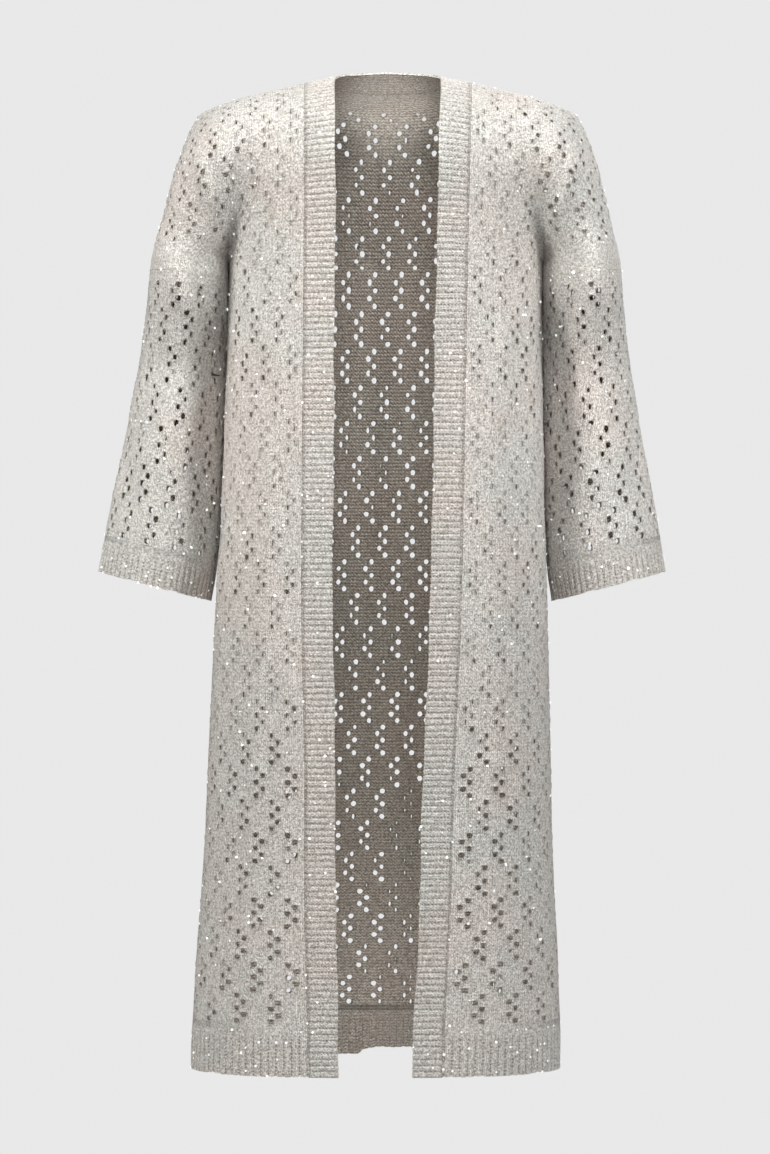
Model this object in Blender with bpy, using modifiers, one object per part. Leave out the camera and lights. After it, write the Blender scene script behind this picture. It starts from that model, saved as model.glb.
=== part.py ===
"""An open-front lace cardigan that keeps its worn shape with nobody in it.

Each knitted piece is a thin wall: two fronts, a back, two sleeves in halves, and one ribbed band that runs
up one front edge, round the back neck and down the other. The origin is where the wearer's shoulders carry
it: between the two high points of the shoulders, at their height. The front faces -Y and the hem is at -Z.

A piece is drawn flat, in the plane of its cloth, as an outline with its lace gaps, and each of its points is
then placed on the worn form. "Out" is the distance from the middle of the body, the same on both sides.
"""

import bpy
import numpy as np
from mathutils.geometry import delaunay_2d_cdt

# Driving dimensions, in metres
HEM_HEIGHT = -1.107
UNDERARM_HEIGHT = -0.205
BAND_WIDTH = 0.035
WALL = 0.0020
RIB_TOP = 0.0030
RIB_FOOT = 0.0017
SEAM_GAP = 0.0003
NECK_SEAM_GAP = 0.0006

# The garment leans a little to the wearer's right on its way down
LEAN_AT_SHOULDER = 0.0045
LEAN = 0.0126

# The armhole seam goes round the upper arm, and the cuff slants down to the body
ARMHOLE_INNER, ARMHOLE_OUTER = -0.2220, -0.2136
CUFF_INNER, CUFF_OUTER = -0.5836, -0.5510

# Ribs: the length of one rib with its furrow, and where its raised part starts and ends
HEM_RIB_HEIGHT = 0.050
CUFF_RIB_HEIGHT = 0.036
RIB_FADE = 0.006
FRONT_RIBS, BACK_RIBS, SLEEVE_HALF_RIBS = 9, 24, 9
BAND_RIB = 0.0220
RIB_PARTS = (0.0, 0.30, 0.70)

# Lace: leaf-shaped groups of gaps in rows, each row set half a step aside, counted up from the ribs. Only the
# largest gap of a group is cut, and of the groups every third one in a row
STITCH = 0.003875
GROUP_STITCHES = 8
FIRST_GAP_STITCH = {"front": 0, "back": 1, "sleeve": 4}
CELLS_IN_GROUP = 5
GAP_WIDTH, GAP_HEIGHT = 0.0070, 0.0074
LACE_END = 0.0070
LACE_TOP = 0.050
LACE_EDGE = 0.012
GROUPS_PER_CUT = 3
# The cloth of the back is drawn wide over the shoulder blades
BACK_SPREAD, TOP_SPREAD, SPREAD_RUN = 0.97, 0.62, 0.05

# The sleeves hang a little behind the body's sides
SWING, SWING_RUN = 0.032, 0.110

# The body's round shape, the neck, and the fall of the cloth below the underarm
ROUNDNESS = 2.4
NECK_OUT, NECK_DIP = 0.0925, 0.013
NECK_FREE_DEPTH, NECK_FREE_HEIGHT = 0.034, 0.0125
UNDERARM_RADIUS = 0.030
BLEND = 6.0
SHOULDER_ROUND = {"front": 0.115, "back": 0.062}
ARM_ROUND = 0.075

# Spacing of the points that carry the round shape between the gaps: below the underarm, and above it
POINT_ACROSS, POINT_DOWN = 0.034, 0.070
UPPER_POINT = 0.023
ARMHOLE_STEPS = 11


class Table:
    """Rows of sizes in named columns, read at any value of the first column on smooth curves."""

    def __init__(self, columns, *rows):
        values = np.array(sorted(rows)).T
        self.key = values[0]
        self.column = dict(zip(columns.split()[1:], values[1:]))
        self.slope = {name: self.even_slopes(column) for name, column in self.column.items()}

    def even_slopes(self, column):
        """Slopes that never carry the curve past its rows."""
        rises = np.diff(column) / np.diff(self.key)
        before, after = rises[:-1], rises[1:]
        both = before * after
        inner = np.where(both > 0, 2 * both / np.where(both > 0, before + after, 1), 0)
        return np.concatenate((rises[:1], inner, rises[-1:]))

    def at(self, name, key):
        x, y, slope = self.key, self.column[name], self.slope[name]
        i = np.clip(np.searchsorted(x, key) - 1, 0, len(x) - 2)
        step = x[i + 1] - x[i]
        t = np.clip((key - x[i]) / step, 0, 1)
        start = (2 * t**3 - 3 * t**2 + 1) * y[i] + (t**3 - 2 * t**2 + t) * step * slope[i]
        return start + (3 * t**2 - 2 * t**3) * y[i + 1] + (t**3 - t**2) * step * slope[i + 1]


BODY = Table(
    "height half_width front back",
    (0.020, 0.1740, 0.106, 0.100),
    (-0.205, 0.1740, 0.112, 0.108),
    (-0.290, 0.1750, 0.114, 0.108),
    (-0.450, 0.1795, 0.115, 0.108),
    (-0.583, 0.1843, 0.116, 0.112),
    (-0.745, 0.1900, 0.118, 0.119),
    (-0.860, 0.1937, 0.119, 0.123),
    (-1.000, 0.2020, 0.120, 0.127),
    (-1.083, 0.2050, 0.120, 0.129),
    (-1.120, 0.2052, 0.120, 0.129),
)
# The free edge of the front, measured from the middle
FRONT_EDGE = Table(
    "height out",
    (0.020, 0.0585),
    (-0.147, 0.0555),
    (-0.580, 0.0528),
    (-0.770, 0.0474),
    (-0.920, 0.0452),
    (-1.050, 0.0405),
    (-1.120, 0.0392),
)
# The line over the shoulder, from the neck outwards
CROWN = Table(
    "out height",
    (0.000, 0.0050),
    (0.055, 0.0030),
    (0.090, -0.0030),
    (0.127, -0.0120),
    (0.154, -0.0180),
    (0.181, -0.0260),
    (0.204, -0.0355),
    (0.2125, -0.0410),
    (0.270, -0.0620),
)
# The upper arm and the sleeve: its side next to the body, its outer side and half its depth
ARM = Table(
    "height inner outer depth",
    (-0.020, 0.0960, 0.2010, 0.069),
    (-0.041, 0.1040, 0.2125, 0.071),
    (-0.050, 0.1080, 0.2170, 0.072),
    (-0.072, 0.1180, 0.2265, 0.073),
    (-0.105, 0.1350, 0.2375, 0.074),
    (-0.139, 0.1520, 0.2460, 0.074),
    (-0.172, 0.1660, 0.2540, 0.073),
    (-0.205, 0.1791, 0.2620, 0.071),
    (-0.256, 0.1797, 0.2665, 0.0685),
    (-0.290, 0.1802, 0.2715, 0.067),
    (-0.358, 0.1820, 0.2830, 0.064),
    (-0.425, 0.1838, 0.2955, 0.061),
    (-0.4925, 0.1862, 0.3090, 0.058),
    (-0.530, 0.1882, 0.3150, 0.057),
    (-0.551, 0.1905, 0.3185, 0.056),
    (-0.584, 0.1950, 0.3225, 0.055),
    (-0.600, 0.1965, 0.3240, 0.055),
)
# How long one row of lace groups is, by its distance down the cloth
LACE_PITCH = Table(
    "down pitch",
    (0.000, 0.0330),
    (0.060, 0.0400),
    (0.120, 0.0456),
    (0.250, 0.0456),
    (0.330, 0.0417),
    (0.800, 0.0367),
    (1.120, 0.0343),
)

# Soft folds: where each starts and ends, how wide it is, how far it stands off, and its side, 0 for both.
# The columns are out_1, height_1, out_2, height_2, width, rise and side
FRONT_FOLDS = (
    (0.128, -0.360, 0.140, -1.140, 0.016, 0.0050, -1),
    (0.104, -0.560, 0.108, -1.150, 0.013, 0.0034, -1),
    (0.160, -0.600, 0.172, -1.140, 0.010, 0.0036, -1),
    (0.121, -0.320, 0.130, -1.150, 0.015, 0.0045, 1),
    (0.150, -0.500, 0.163, -1.130, 0.012, 0.0040, 1),
    (0.098, -0.700, 0.100, -1.150, 0.012, 0.0028, 1),
    (0.212, -0.078, 0.180, -0.190, 0.010, 0.0060, 0),
    (0.190, -0.052, 0.158, -0.200, 0.013, 0.0050, 0),
    (0.240, -0.120, 0.212, -0.225, 0.009, 0.0036, 0),
)
BACK_FOLDS = (
    (0.020, -0.330, 0.026, -1.140, 0.017, 0.0056, -1),
    (0.078, -0.450, 0.086, -1.150, 0.015, 0.0044, -1),
    (0.130, -0.380, 0.142, -1.130, 0.014, 0.0050, -1),
    (0.042, -0.400, 0.052, -1.150, 0.016, 0.0050, 1),
    (0.104, -0.340, 0.112, -1.140, 0.015, 0.0054, 1),
    (0.158, -0.520, 0.166, -1.150, 0.011, 0.0040, 1),
    (0.206, -0.080, 0.176, -0.195, 0.011, 0.0050, 0),
    (0.180, -0.050, 0.146, -0.190, 0.014, 0.0042, 0),
)
FOLDS = {"front": FRONT_FOLDS, "back": BACK_FOLDS}
YARN_COLOUR = (0.56, 0.53, 0.50, 1.0)

# How finely the worn form is worked out: points along a row, samples behind them, and rows
COLUMNS, SAMPLES = 260, 900
UPPER_ROWS, BODY_ROWS, ARM_ROWS, SLEEVE_ROWS = 60, 70, 6, 50
ROW_CROWDING = 1.7


def centre(height):
    """Where the middle of the garment is at a height."""
    return LEAN_AT_SHOULDER + LEAN * height


def swing(height):
    """How far a sleeve hangs behind its own armhole at a height."""
    share = np.clip((ARMHOLE_INNER - SEAM_GAP - height) / SWING_RUN, 0, 1)
    return SWING * share**2 * (3 - 2 * share)


def fold_rise(face, side, out, height):
    """How far the soft folds lift the cloth at a place on one face."""
    rise = np.zeros(np.broadcast(out, height).shape)
    for out_1, height_1, out_2, height_2, width, most, which in FOLDS[face]:
        if which not in (0, side):
            continue
        along = np.array((out_2 - out_1, height_2 - height_1))
        length = np.hypot(*along)
        along = along / length
        run = (out - out_1) * along[0] + (height - height_1) * along[1]
        aside = (out - out_1) * along[1] - (height - height_1) * along[0]
        share = np.clip(run / length, 0, 1)
        rise = rise + most * np.sin(np.pi * share**0.8) ** 0.7 * np.exp(-((aside / width) ** 2))
    return rise


def round_off(share):
    """A quarter round, from 0 at the edge to 1 where it has turned over."""
    return np.sqrt(np.clip(1 - (1 - np.clip(share, 0, 1)) ** 2, 0, 1))


def body_depth(face, side, out, height):
    """How far the body stands in front of or behind the plane of the side seams."""
    share = np.clip(out / BODY.at("half_width", height), 0, 1)
    fullness = np.clip(1 - share**ROUNDNESS, 0, 1) ** (1 / ROUNDNESS)
    return (BODY.at(face, height) + fold_rise(face, side, out, height) * round_off(1 - share)) * fullness


def arm_depth(out, height):
    inner, outer = ARM.at("inner", height), ARM.at("outer", height)
    share = (out - (inner + outer) / 2) / ((outer - inner) / 2)
    return ARM.at("depth", height) * np.sqrt(np.clip(1 - share**2, 0, 1))


def upper_depth(face, side, out, height):
    """The depth above the underarm, where the cloth spans from the body to the upper arm."""
    inner, outer = ARM.at("inner", height), ARM.at("outer", height)
    past_arm = np.clip((out - (inner + outer) / 2) / ((outer - inner) / 2), 0, 1)
    web = np.sqrt(2 * UNDERARM_RADIUS * np.clip(height - UNDERARM_HEIGHT, 0, 1)) * np.sqrt(1 - past_arm**2)
    body = body_depth(face, side, out, height)
    arm = arm_depth(out, height)
    joined = (body**BLEND + arm**BLEND + web**BLEND) ** (1 / BLEND)
    lift = fold_rise(face, side, out, height) * np.clip(web / 0.05, 0, 1) * (out > 0.14)
    near_arm = np.clip((out - 0.12) / 0.09, 0, 1)
    turn = SHOULDER_ROUND[face] * (1 - near_arm) + ARM_ROUND * near_arm
    return (joined + lift) * round_off((CROWN.at("height", out) - height) / turn)


def neck_dip(out):
    return NECK_DIP * np.clip(1 - (out / NECK_OUT) ** 2, 0, 1)


def row_height(face, out, share):
    """The height of a row of the upper part, from the shoulder seam (0) to the underarm (1)."""
    top = CROWN.at("height", out) - (neck_dip(out) if face == "back" else 0)
    return (1 - share) * top + share * UNDERARM_HEIGHT


def seam_out(height):
    return FRONT_EDGE.at("out", height) + BAND_WIDTH


def spaced(points, count):
    """The same line as evenly spaced points, and its length."""
    steps = np.linalg.norm(np.diff(points, axis=0), axis=1)
    run = np.concatenate(([0.0], np.cumsum(steps)))
    where = np.linspace(0, run[-1], count)
    return np.stack([np.interp(where, run, points[:, k]) for k in range(3)], 1), run[-1]


class Sheet:
    """Cloth through rows of evenly spaced points. A place on it is given across and down, in metres."""

    def __init__(self, rows, widths, downs):
        self.rows, self.widths, self.downs = np.array(rows), np.array(widths), np.array(downs)

    def at(self, across, down):
        rows, columns = self.rows.shape[:2]
        r = np.interp(down, self.downs, np.arange(rows))
        width = np.interp(down, self.downs, self.widths)
        c = np.clip(across / width, 0, 1) * (columns - 1)
        i = np.minimum(r.astype(int), rows - 2)
        j = np.minimum(c.astype(int), columns - 2)
        u, v = (r - i)[:, None], (c - j)[:, None]
        upper = self.rows[i, j] * (1 - v) + self.rows[i, j + 1] * v
        lower = self.rows[i + 1, j] * (1 - v) + self.rows[i + 1, j + 1] * v
        return upper * (1 - u) + lower * u


def upper_row(face, side, share):
    start = 0.0
    if face == "front":
        start = seam_out(row_height(face, NECK_OUT, share))
    end = 0.2125
    for _ in range(40):
        end = ARM.at("outer", row_height(face, end, share))
    ease = np.sin(np.pi / 2 * np.linspace(0, 1, SAMPLES))
    out = start + (end - start) * ease
    height = row_height(face, out, share)
    depth = upper_depth(face, side, out, height)
    return np.stack((out, depth, height), 1)


def body_row(face, side, height):
    start = seam_out(height) if face == "front" else 0.0
    end = BODY.at("half_width", height)
    out = start + (end - start) * (1 - (1 - np.linspace(0, 1, SAMPLES)) ** 2.5)
    level = np.full(SAMPLES, height)
    return np.stack((out, body_depth(face, side, out, level), level), 1)


def arm_row(inner_height, outer_height):
    """Half a round of the sleeve, from its side next to the body to its outer side."""
    inner, outer = ARM.at("inner", inner_height), ARM.at("outer", outer_height)
    turn = np.pi * np.linspace(0, 1, SAMPLES)
    out = (inner + outer) / 2 - (outer - inner) / 2 * np.cos(turn)
    share = (1 - np.cos(turn)) / 2
    height = inner_height + (outer_height - inner_height) * share
    depth = ARM.at("depth", (inner_height + outer_height) / 2) * np.sin(turn)
    return np.stack((out, depth, height), 1)


class Panel:
    """A front, or one half of the back, on one side: upper part, body and the short start of the arm."""

    def __init__(self, face, side):
        self.face, self.side = face, side
        shares = np.linspace(0, 1, UPPER_ROWS) ** ROW_CROWDING
        upper = [spaced(upper_row(face, side, share), COLUMNS) for share in shares]
        measured = [rows[COLUMNS // 6] for rows, _ in upper]
        steps = np.linalg.norm(np.diff(measured, axis=0), axis=1)
        downs = np.concatenate(([0.0], np.cumsum(steps)))
        self.upper = Sheet([rows for rows, _ in upper], [width for _, width in upper], downs)
        self.underarm_down = downs[-1]
        heights = np.linspace(UNDERARM_HEIGHT, HEM_HEIGHT, BODY_ROWS)
        body = [spaced(body_row(face, side, height), COLUMNS) for height in heights]
        self.body_width = body[0][1]
        self.body = Sheet(
            [rows for rows, _ in body],
            [self.body_width] * len(heights),
            self.underarm_down + UNDERARM_HEIGHT - heights,
        )
        self.hem_down = self.underarm_down + UNDERARM_HEIGHT - HEM_HEIGHT
        self.arm_start = self.body_width + ARM.at("inner", UNDERARM_HEIGHT) - BODY.at("half_width", UNDERARM_HEIGHT)
        self.arm_width = upper[-1][1] - self.arm_start
        shares = np.linspace(0, 1, ARM_ROWS)
        arm = [
            spaced(
                arm_row(
                    UNDERARM_HEIGHT + (ARMHOLE_INNER + SEAM_GAP / 2 - UNDERARM_HEIGHT) * share,
                    UNDERARM_HEIGHT + (ARMHOLE_OUTER + SEAM_GAP / 2 - UNDERARM_HEIGHT) * share,
                ),
                COLUMNS,
            )
            for share in shares
        ]
        self.ring_down = self.underarm_down + UNDERARM_HEIGHT - (ARMHOLE_INNER + ARMHOLE_OUTER) / 2
        self.arm = Sheet(
            [rows for rows, _ in arm],
            [self.arm_width] * len(shares),
            self.underarm_down + (self.ring_down - self.underarm_down) * shares,
        )

    def top_width(self, down):
        return np.interp(down, self.upper.downs, self.upper.widths)

    def place(self, across, down):
        """World points for places on the cloth, across from the seam or the middle and down from the top."""
        points = self.upper.at(across, np.minimum(down, self.underarm_down))
        below = down > self.underarm_down + 1e-9
        on_arm = across > (self.body_width + self.arm_start) / 2
        body = self.body.at(across, down)
        arm = self.arm.at(across - self.arm_start, down)
        points = np.where((below & ~on_arm)[:, None], body, points)
        points = np.where((below & on_arm)[:, None], arm, points)
        forward = -1 if self.face == "front" else 1
        x = self.side * points[:, 0] + centre(points[:, 2])
        return np.stack((x, forward * (points[:, 1] + SEAM_GAP / 2), points[:, 2]), 1)


class SleeveHalf:
    """The front or back half of a sleeve, from the armhole seam to the cuff."""

    def __init__(self, face, side):
        self.face, self.side = face, side
        shares = np.linspace(0, 1, SLEEVE_ROWS)
        rows = [
            spaced(
                arm_row(
                    ARMHOLE_INNER - SEAM_GAP / 2 + (CUFF_INNER - ARMHOLE_INNER) * share,
                    ARMHOLE_OUTER - SEAM_GAP / 2 + (CUFF_OUTER - ARMHOLE_OUTER) * share,
                ),
                COLUMNS,
            )
            for share in shares
        ]
        self.width = rows[-1][1]
        self.length = (ARMHOLE_INNER + ARMHOLE_OUTER - CUFF_INNER - CUFF_OUTER) / 2
        self.sheet = Sheet([points for points, _ in rows], [self.width] * len(shares), self.length * shares)

    def place(self, across, down):
        points = self.sheet.at(across, down)
        forward = -1 if self.face == "front" else 1
        x = self.side * points[:, 0] + centre(points[:, 2])
        y = forward * (points[:, 1] + SEAM_GAP / 2) + swing(points[:, 2])
        return np.stack((x, y, points[:, 2]), 1)


def line(start, end, step):
    """Points from one place to another on the flat cloth, without the last."""
    start, end = np.array(start, float), np.array(end, float)
    count = max(1, round(np.linalg.norm(end - start) / step))
    return [tuple(start + (end - start) * k / count) for k in range(count)]


def rib_marks(width, ribs, start=0.0):
    """Where the ribs' corners lie across an edge, and whether each is raised."""
    marks = [((rib + part) / ribs * width + start, part > 0) for rib in range(ribs) for part in RIB_PARTS]
    return marks + [(width + start, False)]


def lace_rows(top, end):
    """How far down the cloth the largest gap of each row of groups is, from the lowest row up."""
    rows = []
    while end > top:
        pitch = float(LACE_PITCH.at("pitch", end))
        rows.append(end - pitch / CELLS_IN_GROUP / 2)
        end -= pitch
    return rows


def lace_gaps(inside, kind, width_span, down_span):
    """The cut gaps: four-cornered, each the largest of its group, where the flat cloth has room for them."""
    gaps = []
    half_w, half_h = GAP_WIDTH / 2, GAP_HEIGHT / 2
    for row, down in enumerate(lace_rows(*down_span)):
        stitch = STITCH
        if kind == "back":
            stitch *= BACK_SPREAD + TOP_SPREAD * np.exp(-down / SPREAD_RUN)
        first = FIRST_GAP_STITCH[kind] + GROUP_STITCHES // 2 * (row % 2)
        groups = [int(end / stitch / GROUP_STITCHES) for end in width_span]
        for group in range(groups[0] - 1, groups[1] + 2):
            across = (group * GROUP_STITCHES + first) * stitch
            if (group + 2 * row) % GROUPS_PER_CUT or not inside(across, down):
                continue
            turns = ((half_w, 0), (0, half_h), (-half_w, 0), (0, -half_h))
            gaps.append([(across + aside, down + below) for aside, below in turns])
    return gaps


def free_points(inside, gaps, width_span, down_span, across_step=POINT_ACROSS, down_step=POINT_DOWN):
    """Points between the gaps that carry the round shape."""
    centres = np.array([np.mean(gap, axis=0) for gap in gaps]).reshape(-1, 2)
    points = []
    across_steps = round((width_span[1] - width_span[0]) / across_step)
    down_steps = round((down_span[1] - down_span[0]) / down_step)
    for i in range(across_steps + 1):
        for j in range(down_steps + 1):
            across = width_span[0] + (width_span[1] - width_span[0]) * i / across_steps
            down = down_span[0] + (down_span[1] - down_span[0]) * j / down_steps
            near = len(centres) and np.min(np.linalg.norm(centres - (across, down), axis=1)) < 0.012
            if inside(across, down) and not near:
                points.append((across, down))
    return points


def yarn_material(name):
    material = bpy.data.materials.new(name + "_yarn")
    material.use_nodes = True
    shader = material.node_tree.nodes["Principled BSDF"]
    shader.inputs["Base Color"].default_value = YARN_COLOUR
    shader.inputs["Roughness"].default_value = 0.72
    shader.inputs["Metallic"].default_value = 0.10
    return material


def wall(name, points, faces, thickness, flip):
    """A piece of cloth: an open surface, its plain inside, that Solidify thickens outwards."""
    if flip:
        faces = [tuple(reversed(face)) for face in faces]
    mesh = bpy.data.meshes.new(name)
    mesh.from_pydata([tuple(point) for point in points], [], faces)
    mesh.validate()
    mesh.shade_smooth()
    piece = bpy.data.objects.new(name, mesh)
    GARMENT.objects.link(piece)
    mesh.materials.append(yarn_material(name))
    group = piece.vertex_groups.new(name="thickness")
    least = RIB_FOOT / RIB_TOP
    for index, size in enumerate(thickness):
        group.add([index], float((size / RIB_TOP - least) / (1 - least)), "REPLACE")
    solidify = piece.modifiers.new("Wall", "SOLIDIFY")
    solidify.thickness = RIB_TOP
    solidify.offset = 1
    solidify.vertex_group = "thickness"
    solidify.thickness_vertex_group = least
    return piece


def flat_cloth(outline, gaps, marks, ridges):
    """Triangles of the flat cloth inside the outline and outside the gaps. Ridges stay edges."""
    flat, edges = list(outline) + list(marks), []
    faces = [list(range(len(outline)))]
    for gap in gaps:
        faces.append(list(range(len(flat), len(flat) + len(gap))))
        flat += gap
    for ridge in ridges:
        first = len(flat)
        flat += ridge
        edges += [(k, k + 1) for k in range(first, first + len(ridge) - 1)]
    points, _, triangles, _, _, sources = delaunay_2d_cdt(flat, edges, faces, 1, 1e-6, True)
    kept = [tuple(tri) for tri, source in zip(triangles, sources) if list(source) == [0]]
    used = sorted({k for tri in kept for k in tri})
    number = {old: new for new, old in enumerate(used)}
    return np.array([points[k] for k in used]), [tuple(number[k] for k in tri) for tri in kept]


def ribbed_edge(marks, edge_down, height):
    """The ribs of a hem or cuff as lines up from the edge: each is deep at the edge and fades out on top."""
    downs = (edge_down, edge_down - height + RIB_FADE, edge_down - height)
    return [[(across, down) for down in downs] for across, _ in marks]


def rib_thickness(flat, marks, edge_down, height):
    """The thickness of each point of the cloth: raised on the ribs, low in their furrows."""
    places = np.array([across for across, _ in marks])
    raised = np.array([up for _, up in marks])
    nearest = np.argmin(np.abs(flat[:, 0][:, None] - places[None, :]), axis=1)
    on_rib = flat[:, 1] > edge_down - height + RIB_FADE / 2
    return np.where(on_rib, np.where(raised[nearest], RIB_TOP, RIB_FOOT), WALL)


def panel_limits(panel, top, margin):
    """A test for places that lie below the top and inside the other edges of a panel by a margin."""

    def inside(across, down):
        across = abs(across)
        if down < top or panel.face == "front" and across < margin:
            return False
        if down < panel.underarm_down - margin:
            return across < panel.top_width(down) - margin
        return across < panel.body_width - margin and down < panel.hem_down - HEM_RIB_HEIGHT - margin

    return inside


def panel_points(panel, gaps, start, width):
    """The free points of a panel, closer together above the underarm."""
    upper_span = (UPPER_POINT / 2, panel.underarm_down - UPPER_POINT / 4)
    inside = panel_limits(panel, 0.0, UPPER_POINT / 3)
    points = free_points(inside, gaps, (start, width), upper_span, UPPER_POINT, UPPER_POINT)
    inside = panel_limits(panel, 0.0, LACE_EDGE)
    width = panel.body_width
    lower_span = (panel.underarm_down + UPPER_POINT, panel.hem_down - HEM_RIB_HEIGHT - LACE_EDGE)
    return points + free_points(inside, gaps, (-width if start < 0 else 0.0, width), lower_span)


def panel_edge(panel):
    """The outer edge of a panel on one side, from its hem up: side seam, underarm, armhole and shoulder."""
    hem_top = panel.hem_down - HEM_RIB_HEIGHT
    seam = [(panel.body_width, panel.hem_down - HEM_RIB_HEIGHT + RIB_FADE)]
    seam += line((panel.body_width, hem_top), (panel.body_width, panel.underarm_down), 0.030)
    seam += [(panel.body_width, panel.underarm_down), (panel.arm_start, panel.underarm_down)]
    far = panel.arm_start + panel.arm_width
    seam += line((panel.arm_start, panel.ring_down), (far, panel.ring_down), panel.arm_width / ARMHOLE_STEPS)
    shoulder = [(far, panel.ring_down), (far, panel.underarm_down)]
    rows = range(len(panel.upper.downs) - 4, 0, -5)
    shoulder += [(float(panel.upper.widths[row]), float(panel.upper.downs[row])) for row in rows]
    return seam + shoulder


def make_front(side):
    panel = Panel("front", side)
    inside = panel_limits(panel, LACE_TOP, LACE_EDGE)
    marks = rib_marks(panel.body_width, FRONT_RIBS)
    hem = [(across, panel.hem_down) for across, _ in marks]
    corner = float(panel.upper.widths[0])
    top = line((corner, 0.0), (0.0, 0.0), 0.022)
    edge = line((0.0, 0.0), (0.0, panel.hem_down - HEM_RIB_HEIGHT), 0.030)
    edge += [(0.0, panel.hem_down - HEM_RIB_HEIGHT), (0.0, panel.hem_down - HEM_RIB_HEIGHT + RIB_FADE)]
    outline = list(reversed(hem + panel_edge(panel) + top + edge))
    width = float(panel.upper.widths.max())
    gaps = lace_gaps(inside, "front", (0.0, width), (LACE_TOP, panel.hem_down - HEM_RIB_HEIGHT - LACE_END))
    points = panel_points(panel, gaps, 0.0, width)
    flat, faces = flat_cloth(outline, gaps, points, ribbed_edge(marks, panel.hem_down, HEM_RIB_HEIGHT))
    name = "front_right" if side < 0 else "front_left"
    thickness = rib_thickness(flat, marks, panel.hem_down, HEM_RIB_HEIGHT)
    wall(name, panel.place(flat[:, 0], flat[:, 1]), faces, thickness, flip=side > 0)
    return len(gaps)


def make_back():
    halves = {side: Panel("back", side) for side in (-1, 1)}
    panel = halves[1]
    inside = panel_limits(panel, LACE_TOP, LACE_EDGE)
    marks = rib_marks(2 * panel.body_width, BACK_RIBS, -panel.body_width)
    hem = [(across, panel.hem_down) for across, _ in marks]
    right = panel_edge(panel)
    left = [(-across, down) for across, down in reversed(right)]
    corner = float(panel.upper.widths[0])
    top = [(corner, 0.0)] + line((corner, 0.0), (-corner, 0.0), 0.016)[1:] + [(-corner, 0.0)]
    outline = list(reversed(hem + right + top + left))
    width = float(panel.upper.widths.max())
    gaps = lace_gaps(inside, "back", (-width, width), (LACE_TOP, panel.hem_down - HEM_RIB_HEIGHT - LACE_END))
    points = panel_points(panel, gaps, -width, width)
    flat, faces = flat_cloth(outline, gaps, points, ribbed_edge(marks, panel.hem_down, HEM_RIB_HEIGHT))
    thickness = rib_thickness(flat, marks, panel.hem_down, HEM_RIB_HEIGHT)
    across = np.abs(flat[:, 0])
    spots = np.where((flat[:, 0] < 0)[:, None], halves[-1].place(across, flat[:, 1]), panel.place(across, flat[:, 1]))
    wall("back", spots, faces, thickness, flip=False)
    return len(gaps)


def make_sleeve_half(face, side):
    half = SleeveHalf(face, side)
    marks = rib_marks(half.width, SLEEVE_HALF_RIBS)
    top_of_rib = half.length - CUFF_RIB_HEIGHT

    def inside(across, down):
        in_width = LACE_EDGE < across < half.width - LACE_EDGE
        return in_width and 0.012 < down < top_of_rib - LACE_EDGE

    cuff = [(across, half.length) for across, _ in marks]
    outer = [(half.width, top_of_rib + RIB_FADE)]
    outer += line((half.width, top_of_rib), (half.width, 0.0), 0.036)
    top = line((half.width, 0.0), (0.0, 0.0), half.width / ARMHOLE_STEPS)
    inner = line((0.0, 0.0), (0.0, top_of_rib), 0.036) + [(0.0, top_of_rib), (0.0, top_of_rib + RIB_FADE)]
    outline = list(reversed(cuff + outer + top + inner))
    gaps = lace_gaps(inside, "sleeve", (0.0, half.width), (0.0, top_of_rib - LACE_END))
    points = free_points(inside, gaps, (0.0, half.width), (0.0, half.length))
    flat, faces = flat_cloth(outline, gaps, points, ribbed_edge(marks, half.length, CUFF_RIB_HEIGHT))
    thickness = rib_thickness(flat, marks, half.length, CUFF_RIB_HEIGHT)
    name = f"sleeve_{'right' if side < 0 else 'left'}_{face}"
    wall(name, half.place(flat[:, 0], flat[:, 1]), faces, thickness, flip=(face == "front") == (side > 0))
    return len(gaps)


def band_lines():
    """The band's seam and its free edge, from the right hem round the neck to the left hem."""
    heights = np.linspace(HEM_HEIGHT, UNDERARM_HEIGHT, SAMPLES)[:-1]
    seam, free = [], []
    for height in heights:
        for edge, out in ((seam, seam_out(height)), (free, FRONT_EDGE.at("out", height))):
            edge.append((out, -float(body_depth("front", 0, out, height)), height))
    for share in np.linspace(1, 0, COLUMNS) ** ROW_CROWDING:
        level = row_height("front", NECK_OUT, share)
        for edge, out in ((seam, seam_out(level)), (free, FRONT_EDGE.at("out", level))):
            height = row_height("front", out, share)
            edge.append((out, -float(upper_depth("front", 0, out, height)), height))
    turn = np.linspace(0, np.pi, COLUMNS)[1:-1]
    neck_seam_out, neck_free_out = seam[-1][0], free[-1][0]
    seam_x, free_x = neck_seam_out * np.cos(turn), neck_free_out * np.cos(turn)
    seam_z = row_height("back", np.abs(seam_x), 0)
    seam_y = upper_depth("back", 0, np.abs(seam_x), seam_z)
    free_z = free[-1][2] + (NECK_FREE_HEIGHT - free[-1][2]) * np.sin(turn)
    free_y = NECK_FREE_DEPTH * np.sin(turn)
    right_seam, right_free = np.array(seam) * (-1, 1, 1), np.array(free) * (-1, 1, 1)
    neck_seam = np.stack((-seam_x, seam_y, seam_z), 1)
    neck_free = np.stack((-free_x, free_y, free_z), 1)
    seam_line = np.concatenate((right_seam, neck_seam, np.array(seam)[::-1]))
    free_line = np.concatenate((right_free, neck_free, np.array(free)[::-1]))
    for edge in (seam_line, free_line):
        edge[:, 0] += centre(edge[:, 2])
    return seam_line, free_line


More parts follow.
